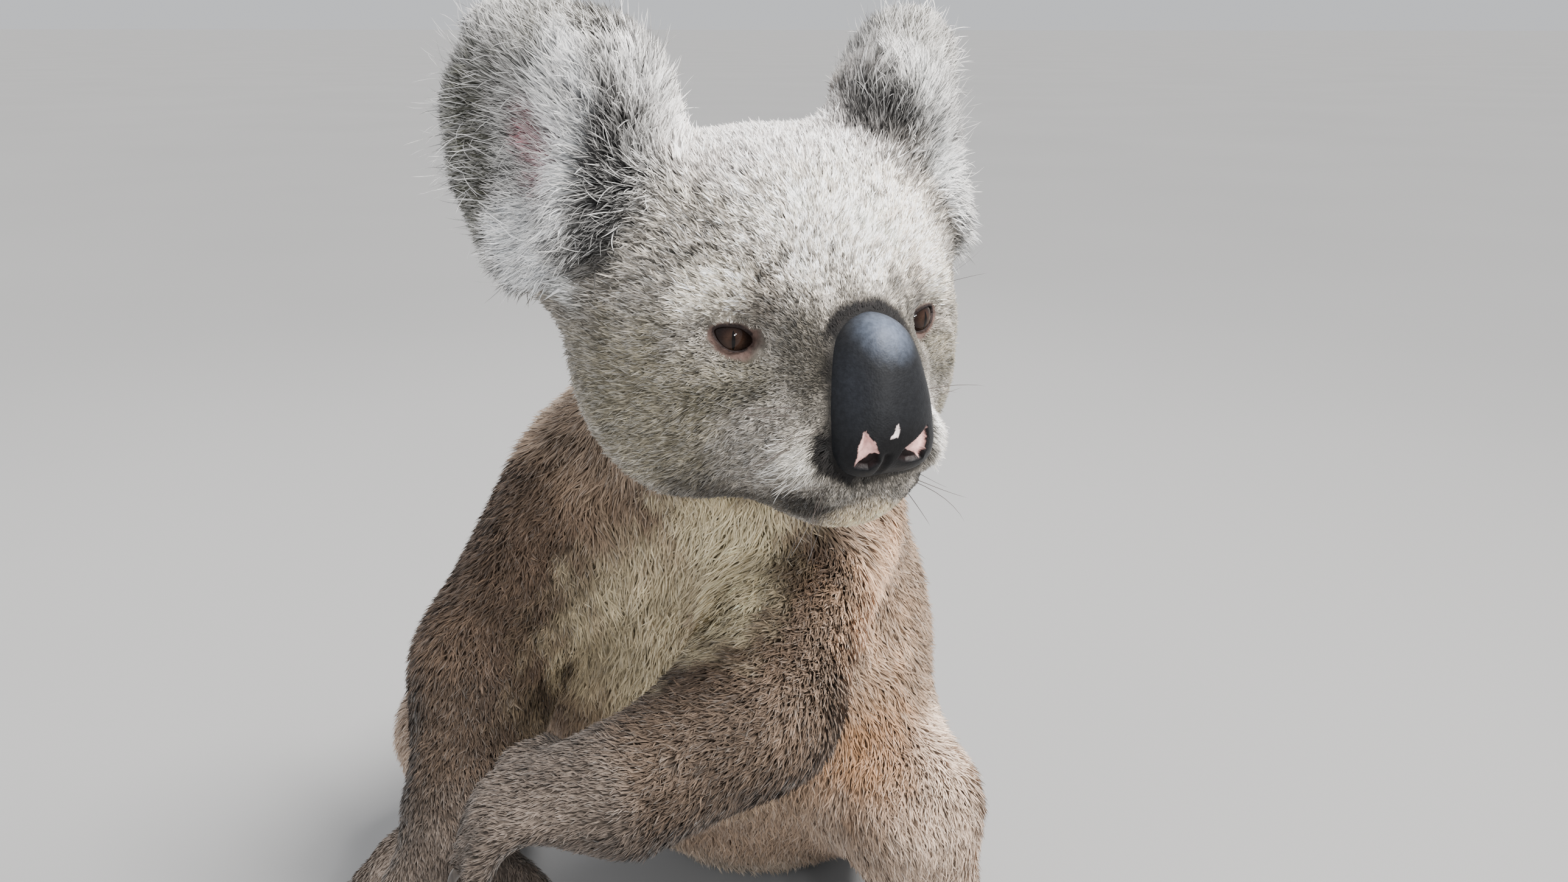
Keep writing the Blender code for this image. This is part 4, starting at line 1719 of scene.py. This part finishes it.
    def wisp_faces(self) -> Array:
        """Finds the faces of the skin that grow loose silver hairs: all of the ears but their backs.

        Returns:
            A mark for each face.
        """
        surface = self.skin.surface
        eary = share_of(self.skin.weights, Kind.EAR)[surface.faces].mean(axis=1) > 0.5
        backward = (self.skin.normals @ self.skin.head.axes[:, 1])[surface.faces].mean(axis=1)
        return eary & (backward < 0.45)

    def strands(
        self, name: str, chosen: Array, kind: CoatKind, colour: tuple[int, int, int], ways: Array, seed: int
    ) -> Piece:
        """Grows single long hairs over some faces of the skin.

        Args:
            name: The piece's name.
            chosen: Marks the faces.
            kind: The hairs' sizes.
            colour: Their colour.
            ways: The coat's lie at each point.
            seed: Chooses one spread.

        Returns:
            The piece.
        """
        count = len(self.skin.surface.points)
        own = {size: np.full(count, getattr(kind, size)) for size in COAT_FIELDS}
        colours = np.broadcast_to(linear(*colour), (count, 3))
        roots = self.scatter(chosen, own, ways, colours, seed)
        return self.grow(name, roots, seed + 1, self.strand_steps)


class Shader:
    """A material with its Principled shader, and short ways to add nodes to it."""

    def __init__(self, name: str, **settings: float | tuple[float, ...]) -> None:
        """Makes the material.

        Args:
            name: The material's name.
            settings: Values of the shader's own sockets, with underscores for spaces.
        """
        self.material = bpy.data.materials.new(name)
        self.material.use_nodes = True
        self.tree = self.material.node_tree
        self.shader = self.tree.nodes["Principled BSDF"]
        for socket, value in settings.items():
            self.shader.inputs[socket.replace("_", " ")].default_value = value

    def add(self, kind: str, **settings: object) -> Node:
        """Adds a node.

        Args:
            kind: Its type.
            settings: Its properties.

        Returns:
            The node.
        """
        node = self.tree.nodes.new(kind)
        for name, value in settings.items():
            setattr(node, name, value)
        return node

    def join(self, source: Socket, target: Socket | str) -> None:
        """Links a socket to another.

        Args:
            source: The socket that gives.
            target: The socket that takes, or the name of one of the shader's.
        """
        if isinstance(target, str):
            target = self.shader.inputs[target]
        self.tree.links.new(source, target)

    def attribute(self, name: str) -> Node:
        """A node that reads one of the piece's own attributes."""
        return self.add("ShaderNodeAttribute", attribute_name=name)

    def noise(self, scale: float, detail: float = 3.0, stretch: tuple | None = None) -> Node:
        """A noise over the piece's Object coordinates.

        Args:
            scale: Its fineness.
            detail: Its octaves.
            stretch: A scale for each axis, where it isn't the same all round.

        Returns:
            The noise node.
        """
        node = self.add("ShaderNodeTexNoise")
        node.inputs["Scale"].default_value = scale
        node.inputs["Detail"].default_value = detail
        place = self.add("ShaderNodeTexCoord")
        mapping = self.add("ShaderNodeMapping")
        mapping.inputs["Scale"].default_value = stretch or (1.0, 1.0, 1.0)
        self.join(place.outputs["Object"], mapping.inputs["Vector"])
        self.join(mapping.outputs["Vector"], node.inputs["Vector"])
        return node

    def ramp(self, source: Socket, stops: Sequence[tuple[float, Triple]]) -> Socket:
        """A colour ramp.

        Args:
            source: The value that it looks up.
            stops: Each stop's place and linear colour.

        Returns:
            The colour socket.
        """
        node = self.add("ShaderNodeValToRGB")
        band = node.color_ramp
        while len(band.elements) < len(stops):
            band.elements.new(0.5)
        for element, (place, colour) in zip(band.elements, stops):
            element.position = place
            element.color = (*colour, 1.0)
        self.join(source, node.inputs["Fac"])
        return node.outputs["Color"]

    def mix(self, share: Socket | float, first: object, second: object, blend: str = "MIX") -> Socket:
        """Mixes two colours.

        Args:
            share: How much of the second shows.
            first: A colour socket or a linear colour.
            second: The same.
            blend: The way of mixing.

        Returns:
            The mixed colour's socket.
        """
        node = self.add("ShaderNodeMix", data_type="RGBA", blend_type=blend)
        for value, number in ((share, 0), (first, 6), (second, 7)):
            self.give(value, node.inputs[number])
        return node.outputs[2]

    def give(self, value: object, socket: Socket) -> None:
        """Gives a socket its value.

        Args:
            value: Another socket, a number or a linear colour.
            socket: The socket.
        """
        if isinstance(value, Socket):
            self.join(value, socket)
        elif isinstance(value, (int, float)):
            socket.default_value = value
        else:
            socket.default_value = (*value, 1.0)

    def math(self, operation: str, *values: Socket | float) -> Socket:
        """Works out a value.

        Args:
            operation: The way.
            values: The sockets or numbers that it is worked out from.

        Returns:
            The value's socket.
        """
        node = self.add("ShaderNodeMath", operation=operation)
        for value, socket in zip(values, node.inputs):
            self.give(value, socket)
        return node.outputs[0]

    def tinted(self, attribute: str, noise: Node, stops: Sequence[tuple[float, Triple]]) -> None:
        """Takes the colour from one of the piece's attributes, multiplied by a noise through some stops."""
        colour, change = self.attribute(attribute).outputs["Color"], self.ramp(noise.outputs["Fac"], stops)
        self.join(self.mix(1.0, colour, change, "MULTIPLY"), "Base Color")

    def bump(self, height: Socket, strength: float, distance: float) -> None:
        """Roughens the surface by a height.

        Args:
            height: The height's socket.
            strength: How much it counts.
            distance: The height of 1.
        """
        node = self.add("ShaderNodeBump")
        node.inputs["Strength"].default_value = strength
        node.inputs["Distance"].default_value = distance
        self.join(height, node.inputs["Height"])
        self.join(node.outputs["Normal"], "Normal")


@dataclass(frozen=True)
class FurFinish:
    """Dry, soft hair, in the coat's own colours."""

    roughness: float = 0.72
    gloss: float = 0.22
    sheen: float = 0.12
    grain: float = 900.0

    def material(self) -> Material:
        """Makes the material.

        Returns:
            The material.
        """
        looks = {"Roughness": self.roughness, "Specular_IOR_Level": self.gloss, "Sheen_Weight": self.sheen}
        shader = Shader("fur", **looks)
        stops = [(0.3, (0.82, 0.82, 0.82)), (0.7, (1.12, 1.11, 1.10))]
        shader.tinted("coat", shader.noise(self.grain, 2.0), stops)
        return shader.material


@dataclass(frozen=True)
class SkinFinish:
    """Short underfur over the skin, and the bare skin of lids and lips."""

    roughness: float = 0.78
    gloss: float = 0.25
    streaks: float = 0.0012  # Their depth.
    grains: Pair = (420.0, 1600.0)  # The scales of the coarse and the fine streaks.

    def material(self) -> Material:
        """Makes the material.

        Returns:
            The material.
        """
        shader = Shader("skin", Roughness=self.roughness, Specular_IOR_Level=self.gloss)
        coarse, fine = shader.noise(self.grains[0], 4.0), shader.noise(self.grains[1], 2.0)
        shader.tinted("coat", coarse, [(0.3, (0.60, 0.60, 0.60)), (0.7, (1.15, 1.14, 1.12))])
        height = shader.math("ADD", coarse.outputs["Fac"], shader.math("MULTIPLY", fine.outputs["Fac"], 0.4))
        shader.bump(height, 0.6, self.streaks)
        return shader.material


@dataclass(frozen=True)
class EyeFinish:
    """A wet eye: a brown iris with fine fibres and an upright slit pupil, dark round its rim."""

    iris: Triple = (44, 32, 26)
    outer: Triple = (30, 20, 16)
    ball: Triple = (22, 15, 13)
    slit: Pair = (0.11, 0.62)  # The pupil's half width and height, as shares of the iris's radius.
    wet: float = 1.30  # The refraction of the film over it.

    def material(self, name: str) -> Material:
        """Makes the material.

        Args:
            name: The material's name.

        Returns:
            The material.
        """
        film = {"Coat_Weight": 1.0, "Coat_Roughness": 0.02, "Coat_IOR": self.wet}
        shader = Shader(name, Roughness=0.45, Specular_IOR_Level=0.0, **film)
        place = shader.add("ShaderNodeSeparateXYZ")
        shader.join(shader.attribute("iris").outputs["Vector"], place.inputs[0])
        across, up = place.outputs["X"], place.outputs["Y"]
        squares = [shader.math("POWER", side, 2.0) for side in (across, up)]
        reach = shader.math("SQRT", shader.math("ADD", *squares))
        iris, outer, ball = (linear(*colour) for colour in (self.iris, self.outer, self.ball))
        stops = ((0.15, iris * 0.7), (0.42, iris * 1.15), (0.72, outer), (0.93, ball), (1.0, ball))
        rings = shader.ramp(reach, stops)
        angle = shader.math("ARCTAN2", up, across)
        spokes = shader.add("ShaderNodeCombineXYZ")
        shader.join(shader.math("MULTIPLY", angle, 9.0), spokes.inputs["X"])
        shader.join(shader.math("MULTIPLY", reach, 2.2), spokes.inputs["Y"])
        fibre = shader.add("ShaderNodeTexNoise")
        fibre.inputs["Scale"].default_value = 2.4
        shader.join(spokes.outputs[0], fibre.inputs["Vector"])
        bright = shader.ramp(fibre.outputs["Fac"], [(0.3, (0.65, 0.62, 0.60)), (0.7, (1.3, 1.25, 1.2))])
        colour = shader.mix(1.0, rings, bright, "MULTIPLY")
        wide = shader.math("POWER", shader.math("DIVIDE", across, self.slit[0]), 2.0)
        high = shader.math("POWER", shader.math("DIVIDE", up, self.slit[1]), 2.0)
        inside = shader.math("LESS_THAN", shader.math("ADD", wide, high), 1.0)
        shader.join(shader.mix(inside, colour, (0.002, 0.0015, 0.0015)), "Base Color")
        return shader.material


@dataclass(frozen=True)
class NoseFinish:
    """Smooth dark leather with a fine grain and dry, bluish where a highlight is painted into its colours.
    """

    roughness: float = 0.50
    gloss: float = 0.13
    grain: float = 0.00016
    cells: float = 1500.0

    def material(self) -> Material:
        """Makes the material.

        Returns:
            The material.
        """
        bloom = {"Sheen_Weight": 0.03, "Sheen_Roughness": 0.45}
        shader = Shader("nose_leather", Roughness=self.roughness, Specular_IOR_Level=self.gloss, **bloom)
        cells = shader.add("ShaderNodeTexVoronoi")
        cells.inputs["Scale"].default_value = self.cells
        place = shader.add("ShaderNodeTexCoord")
        shader.join(place.outputs["Object"], cells.inputs["Vector"])
        fine = shader.noise(700.0, 3.0)
        shader.tinted("leather", fine, [(0.35, (0.80, 0.80, 0.82)), (0.65, (1.18, 1.18, 1.20))])
        height = shader.math("ADD", cells.outputs["Distance"], fine.outputs["Fac"])
        shader.bump(height, 0.35, self.grain)
        return shader.material


@dataclass(frozen=True)
class HornFinish:
    """Dark horn with paler streaks."""

    dark: Triple = (52, 46, 42)
    pale: Triple = (110, 98, 86)

    def material(self) -> Material:
        """Makes the material.

        Returns:
            The material.
        """
        shader = Shader("horn", Roughness=0.34, Coat_Weight=0.25, Coat_Roughness=0.2)
        streak = shader.noise(300.0, 3.0, (1.0, 1.0, 0.35))
        stops = ((0.35, linear(*self.dark)), (0.75, linear(*self.pale)))
        shader.join(shader.ramp(streak.outputs["Fac"], stops), "Base Color")
        shader.bump(streak.outputs["Fac"], 0.2, 0.0002)
        return shader.material


@dataclass(frozen=True)
class Eye:
    """One eyeball with its cornea's bulge."""

    opening: EyeOpening
    bulge: float = 0.0006  # How far the cornea stands out.
    cornea: float = 1.15  # Its radius, as a share of the iris's.
    iris_radius: float = 0.0049
    segments: int = 64
    rings: int = 48

    def build(self) -> Piece:
        """Makes the eyeball.

        Returns:
            The piece.
        """
        node = "eye_" + self.opening.side
        low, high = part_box(node)
        centre = self.opening.ball()
        ahead = self.opening.axes()[:, 1]
        across = unit(np.cross(ahead, self.opening.head.axes[:, 2]))
        up = np.cross(across, ahead)
        turn = Matrix(np.stack([across, up, ahead], axis=1).tolist()).to_4x4()
        place = Matrix.Translation(Vector(centre)) @ turn
        builder = bmesh.new()
        bmesh.ops.create_uvsphere(
            builder,
            u_segments=self.segments,
            v_segments=self.rings,
            radius=(high.x - low.x) / 2,
            matrix=place,
        )
        layer = builder.verts.layers.float_vector.new("iris")
        for vert in builder.verts:
            seen = np.array(vert.co) - centre
            wide, high_up, deep = seen @ across, seen @ up, seen @ ahead
            reach = np.hypot(wide, high_up) / self.iris_radius
            if deep > 0:
                lift = self.bulge * max(0.0, 1.0 - (reach / self.cornea) ** 2)
                vert.co += Vector(unit(seen)) * lift
            # Behind the eye the iris's map goes on well past its rim.
            spread = (1.0 if deep > 0 else 3.0) / self.iris_radius
            vert[layer] = (wide * spread, high_up * spread, 0.0)
        name = "eyeball_" + self.opening.side
        piece = from_builder(name, builder)
        piece.data.materials.append(EyeFinish().material(name))
        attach(piece, BODY)
        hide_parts(node)
        LOG.info("%s", name)
        return piece


@dataclass(frozen=True)
class Outline:
    """A closed outline on the nose, seen from straight ahead.

    Attributes:
        corners: Its corners: across and up, on the head.
    """

    corners: tuple[Pair, ...]

    def share(self, placed: Array, edge: float) -> Array:
        """How far inside the outline each place lies.

        Args:
            placed: Places on the head.
            edge: The width over which it fades in.

        Returns:
            A share for each, 0 outside and 1 well inside.
        """
        flat = placed[:, [0, 2]]
        corners = np.array(self.corners)
        closed = np.vstack([corners, corners[:1]])
        inside = np.zeros(len(flat), bool)
        for start, end in zip(closed, closed[1:]):
            spans = (start[1] > flat[:, 1]) != (end[1] > flat[:, 1])
            rise = end[1] - start[1] if end[1] != start[1] else 1.0
            crossing = start[0] + (flat[:, 1] - start[1]) * (end[0] - start[0]) / rise
            inside ^= spans & (flat[:, 0] < crossing)
        return np.where(inside, ease(0.0, edge, path_distance(flat, closed)), 0.0)


NOSTRILS = (
    Outline(
        (
            *((-0.0107, -0.0286), (-0.0084, -0.0310), (-0.0062, -0.0352), (-0.0054, -0.0390)),
            *((-0.0085, -0.0416), (-0.0132, -0.0410), (-0.0124, -0.0350)),
        )
    ),
    Outline(
        (
            *((0.0122, -0.0290), (0.0130, -0.0335), (0.0108, -0.0405), (0.0045, -0.0410)),
            *((0.0006, -0.0388), (0.0026, -0.0350), (0.0072, -0.0322)),
        )
    ),
)

# The places where the leather has no dark colour, and what colour it has there.
PALE_SPOTS = (
    (
        Outline(
            (
                *((-0.0107, -0.0286), (-0.0080, -0.0316), (-0.0062, -0.0358), (-0.0096, -0.0368)),
                *((-0.0128, -0.0408), (-0.0125, -0.0345)),
            )
        ),
        (214, 168, 160),
    ),
    (
        Outline(
            (
                *((0.0119, -0.0294), (0.0126, -0.0332), (0.0113, -0.0368), (0.0100, -0.0400)),
                *((0.0080, -0.0384), (0.0030, -0.0362), (0.0038, -0.0345), (0.0076, -0.0325)),
            )
        ),
        (214, 168, 160),
    ),
    (
        Outline(((-0.0006, -0.0264), (-0.0032, -0.0315), (-0.0004, -0.0311), (0.0002, -0.0288))),
        (224, 206, 202),
    ),
)

# The leather's colours over its base, on the head: a painted bluish highlight on the top, a fainter painted
# highlight down the right side, and darker towards the bottom.
LEATHER_AND_HIGHLIGHT_PATCHES = (
    # Painted highlight where the light catches the top of the nose.
    Patch((0.002, -0.083, -0.001), (0.013, 0.016, 0.013), (92, 101, 116), 0.80, 1.0),
    # Painted highlight down the nose's right side.
    Patch((-0.0125, -0.085, -0.016), (0.008, 0.016, 0.022), (32, 34, 39), 0.6, 1.0),
    Patch((0.0, -0.092, -0.036), (0.022, 0.020, 0.013), (11, 10, 11), 0.85, 0.8),
)

# The groove under the nose.
PHILTRUM = ((-0.0030, -0.0945, -0.0375), (-0.0036, -0.0930, -0.0410), (-0.0034, -0.0890, -0.0460))


@dataclass(frozen=True)
class Nose:
    """The nose pad: a leathery oval with two comma nostrils, bare and pink inside."""

    head: HeadFrame
    grow: float = 0.0004
    levels: int = 4
    front: Pair = (-0.070, -0.078)  # Where the nostrils start to sink, and where they do in full.
    nostril_depth: float = 0.0021
    nostril_edge: Pair = (0.0011, 0.0008)  # In the shape, and in the colours.
    groove_depth: float = 0.0013
    groove_width: Pair = (0.0013, 0.0007)  # The same.
    leather: Triple = (21, 22, 24)
    inner: Triple = (22, 14, 14)
    grooved: Triple = (18, 15, 15)

    def build(self) -> Piece:
        """Makes the nose pad.

        Returns:
            The piece.
        """
        builder = joined([SOLIDS["nose"]], self.grow)
        piece = rounded("nose_pad", builder, self.levels, NoseFinish().material())
        surface = Surface.of_mesh(piece.data)
        placed = self.head.inside(surface.points)
        sink = sum(self.nostril_depth * nostril.share(placed, self.nostril_edge[0]) for nostril in NOSTRILS)
        sink += self.groove_depth * self.groove(placed, self.groove_width[0])
        sink *= ease(*self.front, placed[:, 1])
        points = surface.points - surface.normals() * sink[:, None]
        piece.data.vertices.foreach_set("co", points.astype(np.float32).ravel())
        piece.data.update()
        for face in piece.data.polygons:
            face.use_smooth = True
        paint(piece.data, "leather", self.colours(placed))
        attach(piece, BODY)
        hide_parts("nose")
        LOG.info("nose_pad: %d faces", len(piece.data.polygons))
        return piece

    @staticmethod
    def groove(placed: Array, width: float) -> Array:
        """How far into the groove under the nose each place lies, from 0 to 1."""
        return np.exp(-((path_distance(placed, np.array(PHILTRUM)) / width) ** 2))

    def colours(self, placed: Array) -> Array:
        """Colours the leather: charcoal with a painted bluish highlight at the top, darker towards the
        bottom, pink in the nostrils.

        Args:
            placed: Places on the head.

        Returns:
            Linear colours.
        """
        stray = 0.25 * Waves(0.004, 61).at(placed)
        colours = laid(LEATHER_AND_HIGHLIGHT_PATCHES, np.tile(linear(*self.leather), (len(placed), 1)), placed, stray)
        ragged = placed + 0.00016 * Waves(0.0022, 62).vectors(placed)
        for nostril in NOSTRILS:
            colours = mixed(colours, linear(*self.inner), nostril.share(placed, self.nostril_edge[1]))
        for outline, tone in PALE_SPOTS:
            colours = mixed(colours, linear(*tone), outline.share(ragged, 0.00018))
        return mixed(colours, linear(*self.grooved), self.groove(placed, self.groove_width[1]))


@dataclass(frozen=True)
class Claws:
    """The claws of the hands and feet, rounded, one piece for each limb.

    Attributes:
        levels: How finely each is rounded.
    """

    levels: int = 2

    def build(self) -> list[Piece]:
        """Makes the claws.

        Returns:
            Their pieces.
        """
        material = HornFinish().material()
        pieces = []
        for limb in ("hand", "foot"):
            for side in SIDES:
                nodes = sorted(name for name in SOLIDS if name.startswith(f"claw_{limb}_{side}_"))
                builder = joined(SOLIDS[name] for name in nodes)
                piece = rounded(f"claws_{limb}_{side}", builder, self.levels, material)
                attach(piece, BODY)
                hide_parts(*nodes)
                pieces.append(piece)
        LOG.info("claws: %d pieces", len(pieces))
        return pieces


def aim(item: Piece, way: Vector) -> None:
    """Points a light along a direction."""
    item.rotation_euler = way.to_track_quat("-Z", "Y").to_euler()


@dataclass(frozen=True)
class Lamp:
    """A soft square light."""

    name: str
    place: Triple
    size: float
    power: float
    colour: Triple = (1.0, 1.0, 1.0)
    mirrored: bool = True  # Whether shiny things show it.

    def hang(self, target: Array) -> None:
        """Hangs the light.

        Args:
            target: Where it points.
        """
        data = bpy.data.lights.new(self.name, "AREA")
        data.size = self.size
        data.energy = self.power
        data.color = self.colour
        item = new_object(self.name, data)
        item.location = self.place
        item.visible_glossy = self.mirrored
        aim(item, Vector(target) - Vector(self.place))


LAMPS = (
    Lamp("key", (0.80, -0.05, 1.30), 0.50, 24.0, (1.0, 0.965, 0.925)),
    Lamp("fill", (-0.65, -1.05, 0.75), 0.8, 7.0, (0.96, 0.98, 1.0), False),
    Lamp("rim", (-0.4, 0.8, 1.1), 0.6, 9.0, (1.0, 0.99, 0.98)),
    Lamp("catch_low", (0.84, -1.02, 0.52), 0.11, 4.4),
    Lamp("catch_high", (0.94, -0.90, 0.60), 0.08, 2.8),
)


@dataclass(frozen=True)
class Studio:
    """The floor, the soft lights and the camera."""

    head: HeadFrame
    from_head: Triple = (0.1102, -0.4238, 0.0881)  # The camera's place, from the head's middle.
    yaw: float = 13.45  # To the left.
    down: float = 18.83
    lens: float = 28.0  # Millimetres, as the next.
    sensor: float = 36.0
    nearest: float = 0.02
    floor_size: float = 240.0
    floor_tones: tuple[int, int] = (138, 141)
    sun: float = 7.5
    sun_angle: float = 16.0
    sun_way: Triple = (-0.50, 0.22, -0.84)
    sun_colour: Triple = (1.0, 0.975, 0.945)
    surround: float = 0.95
    surround_colour: Triple = (226, 228, 232)

    def camera(self) -> None:
        """Sets up the camera."""
        data = bpy.data.cameras.new("camera")
        data.lens = self.lens
        data.sensor_width = self.sensor
        data.clip_start = self.nearest
        item = new_object("camera", data)
        item.location = Vector(self.head.centre) + Vector(self.from_head)
        item.rotation_euler = (radians(90 - self.down), 0.0, radians(self.yaw))
        bpy.context.scene.camera = item

    def floor(self) -> None:
        """Makes a plain pale floor that reaches to the horizon."""
        builder = bmesh.new()
        bmesh.ops.create_grid(builder, x_segments=1, y_segments=1, size=self.floor_size / 2)
        floor = from_builder("floor", builder)
        shader = Shader("floor", Roughness=0.9, Specular_IOR_Level=0.1)
        dark, pale = (linear(tone, tone, tone) for tone in self.floor_tones)
        tone = shader.noise(1.2, 2.0).outputs["Fac"]
        shader.join(shader.ramp(tone, ((0.3, dark), (0.7, pale))), "Base Color")
        floor.data.materials.append(shader.material)

    def lights(self) -> None:
        """Sets up the lights and the pale surroundings."""
        for lamp in LAMPS:
            lamp.hang(self.head.centre)
        data = bpy.data.lights.new("sky_light", "SUN")
        data.energy = self.sun
        data.angle = radians(self.sun_angle)
        data.color = self.sun_colour
        aim(new_object("sky_light", data), Vector(self.sun_way))
        world = bpy.data.worlds.new("studio")
        world.use_nodes = True
        back = world.node_tree.nodes["Background"]
        back.inputs["Color"].default_value = (*linear(*self.surround_colour), 1.0)
        back.inputs["Strength"].default_value = self.surround
        bpy.context.scene.world = world

    def build(self) -> None:
        """Sets up the whole studio."""
        self.camera()
        self.floor()
        self.lights()
        LOG.info("studio")


@dataclass(frozen=True)
class Koala:
    """The whole figure."""

    head: HeadFrame = field(default_factory=HeadFrame)
    # The skin shows between the tufts, so the next two make it darker than the coat as painted shade deep in
    # the coat, darker still in the ears.
    under: float = 0.55  # How light the skin is, as a share of the coat's colour.
    ear_under: float = 0.28  # How much less that is in the ears.
    lid: Triple = (86, 69, 63)
    lid_rim: Triple = (34, 25, 24)
    lips: Triple = (60, 48, 46)
    lip_share: float = 0.8
    quick_thin: float = 0.25

    def dress_skin(self, skin: Skin, markings: Markings) -> None:
        """Colours the skin, and puts it in place of the solids.

        Args:
            skin: The skin.
            markings: The coat's colours.
        """
        points = skin.surface.points
        eary = share_of(skin.weights, Kind.EAR)[:, None]
        # Painted shade: the skin, seen between the tufts, is darkened below the coat's colour, the more in
        # the ears.
        colours = markings.colours(points, skin.weights) * (self.under - self.ear_under * eary)
        for opening in skin.openings:
            local = opening.local(points)
            clear = opening.clearance(local)
            here = opening.on_lid(local)
            flat = opening.flat(local)
            bare = here * ease(0.0018, 0.0003, clear - opening.bare_edge(local))
            colours = mixed(colours, linear(*self.lid), bare)
            # The lids' dark rim: their own dark edge, widened along the upper lid as a painted shadow under
            # it.
            upper = ease(-0.001, 0.002, flat[:, 1])
            inner = ease(0.0045, 0.0062, flat[:, 0])
            rim = here * ease(0.0004, 0.0, clear - 0.0002 - 0.0005 * upper) * (1 - 0.9 * inner)
            colours = mixed(colours, linear(*self.lid_rim), rim)
        mouth = self.lip_share * MOUTH.share(self.head.inside(points))
        paint(skin.piece.data, "coat", mixed(colours, linear(*self.lips), mouth))
        skin.piece.data.materials.clear()
        skin.piece.data.materials.append(SkinFinish().material())
        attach(skin.piece, BODY)
        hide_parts(*skin.nodes())

    def build(self) -> None:
        """Makes every piece."""
        skin = Skin(self.head)
        skin.build()
        markings = Markings(self.head)
        self.dress_skin(skin, markings)
        for opening in skin.openings:
            Eye(opening).build()
        Nose(self.head).build()
        Claws().build()
        coat = Coat(skin, markings, Lie(self.head, skin))
        fur = FurFinish().material()
        for piece in coat.build():
            piece.data.materials.append(fur)
            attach(piece, BODY)


def main() -> None:
    """Builds the figure and its studio."""
    logging.basicConfig(level=logging.INFO, format="%(name)s: %(message)s")
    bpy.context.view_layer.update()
    koala = Koala()
    koala.build()
    Studio(koala.head).build()


if __name__ == "__main__":
    main()
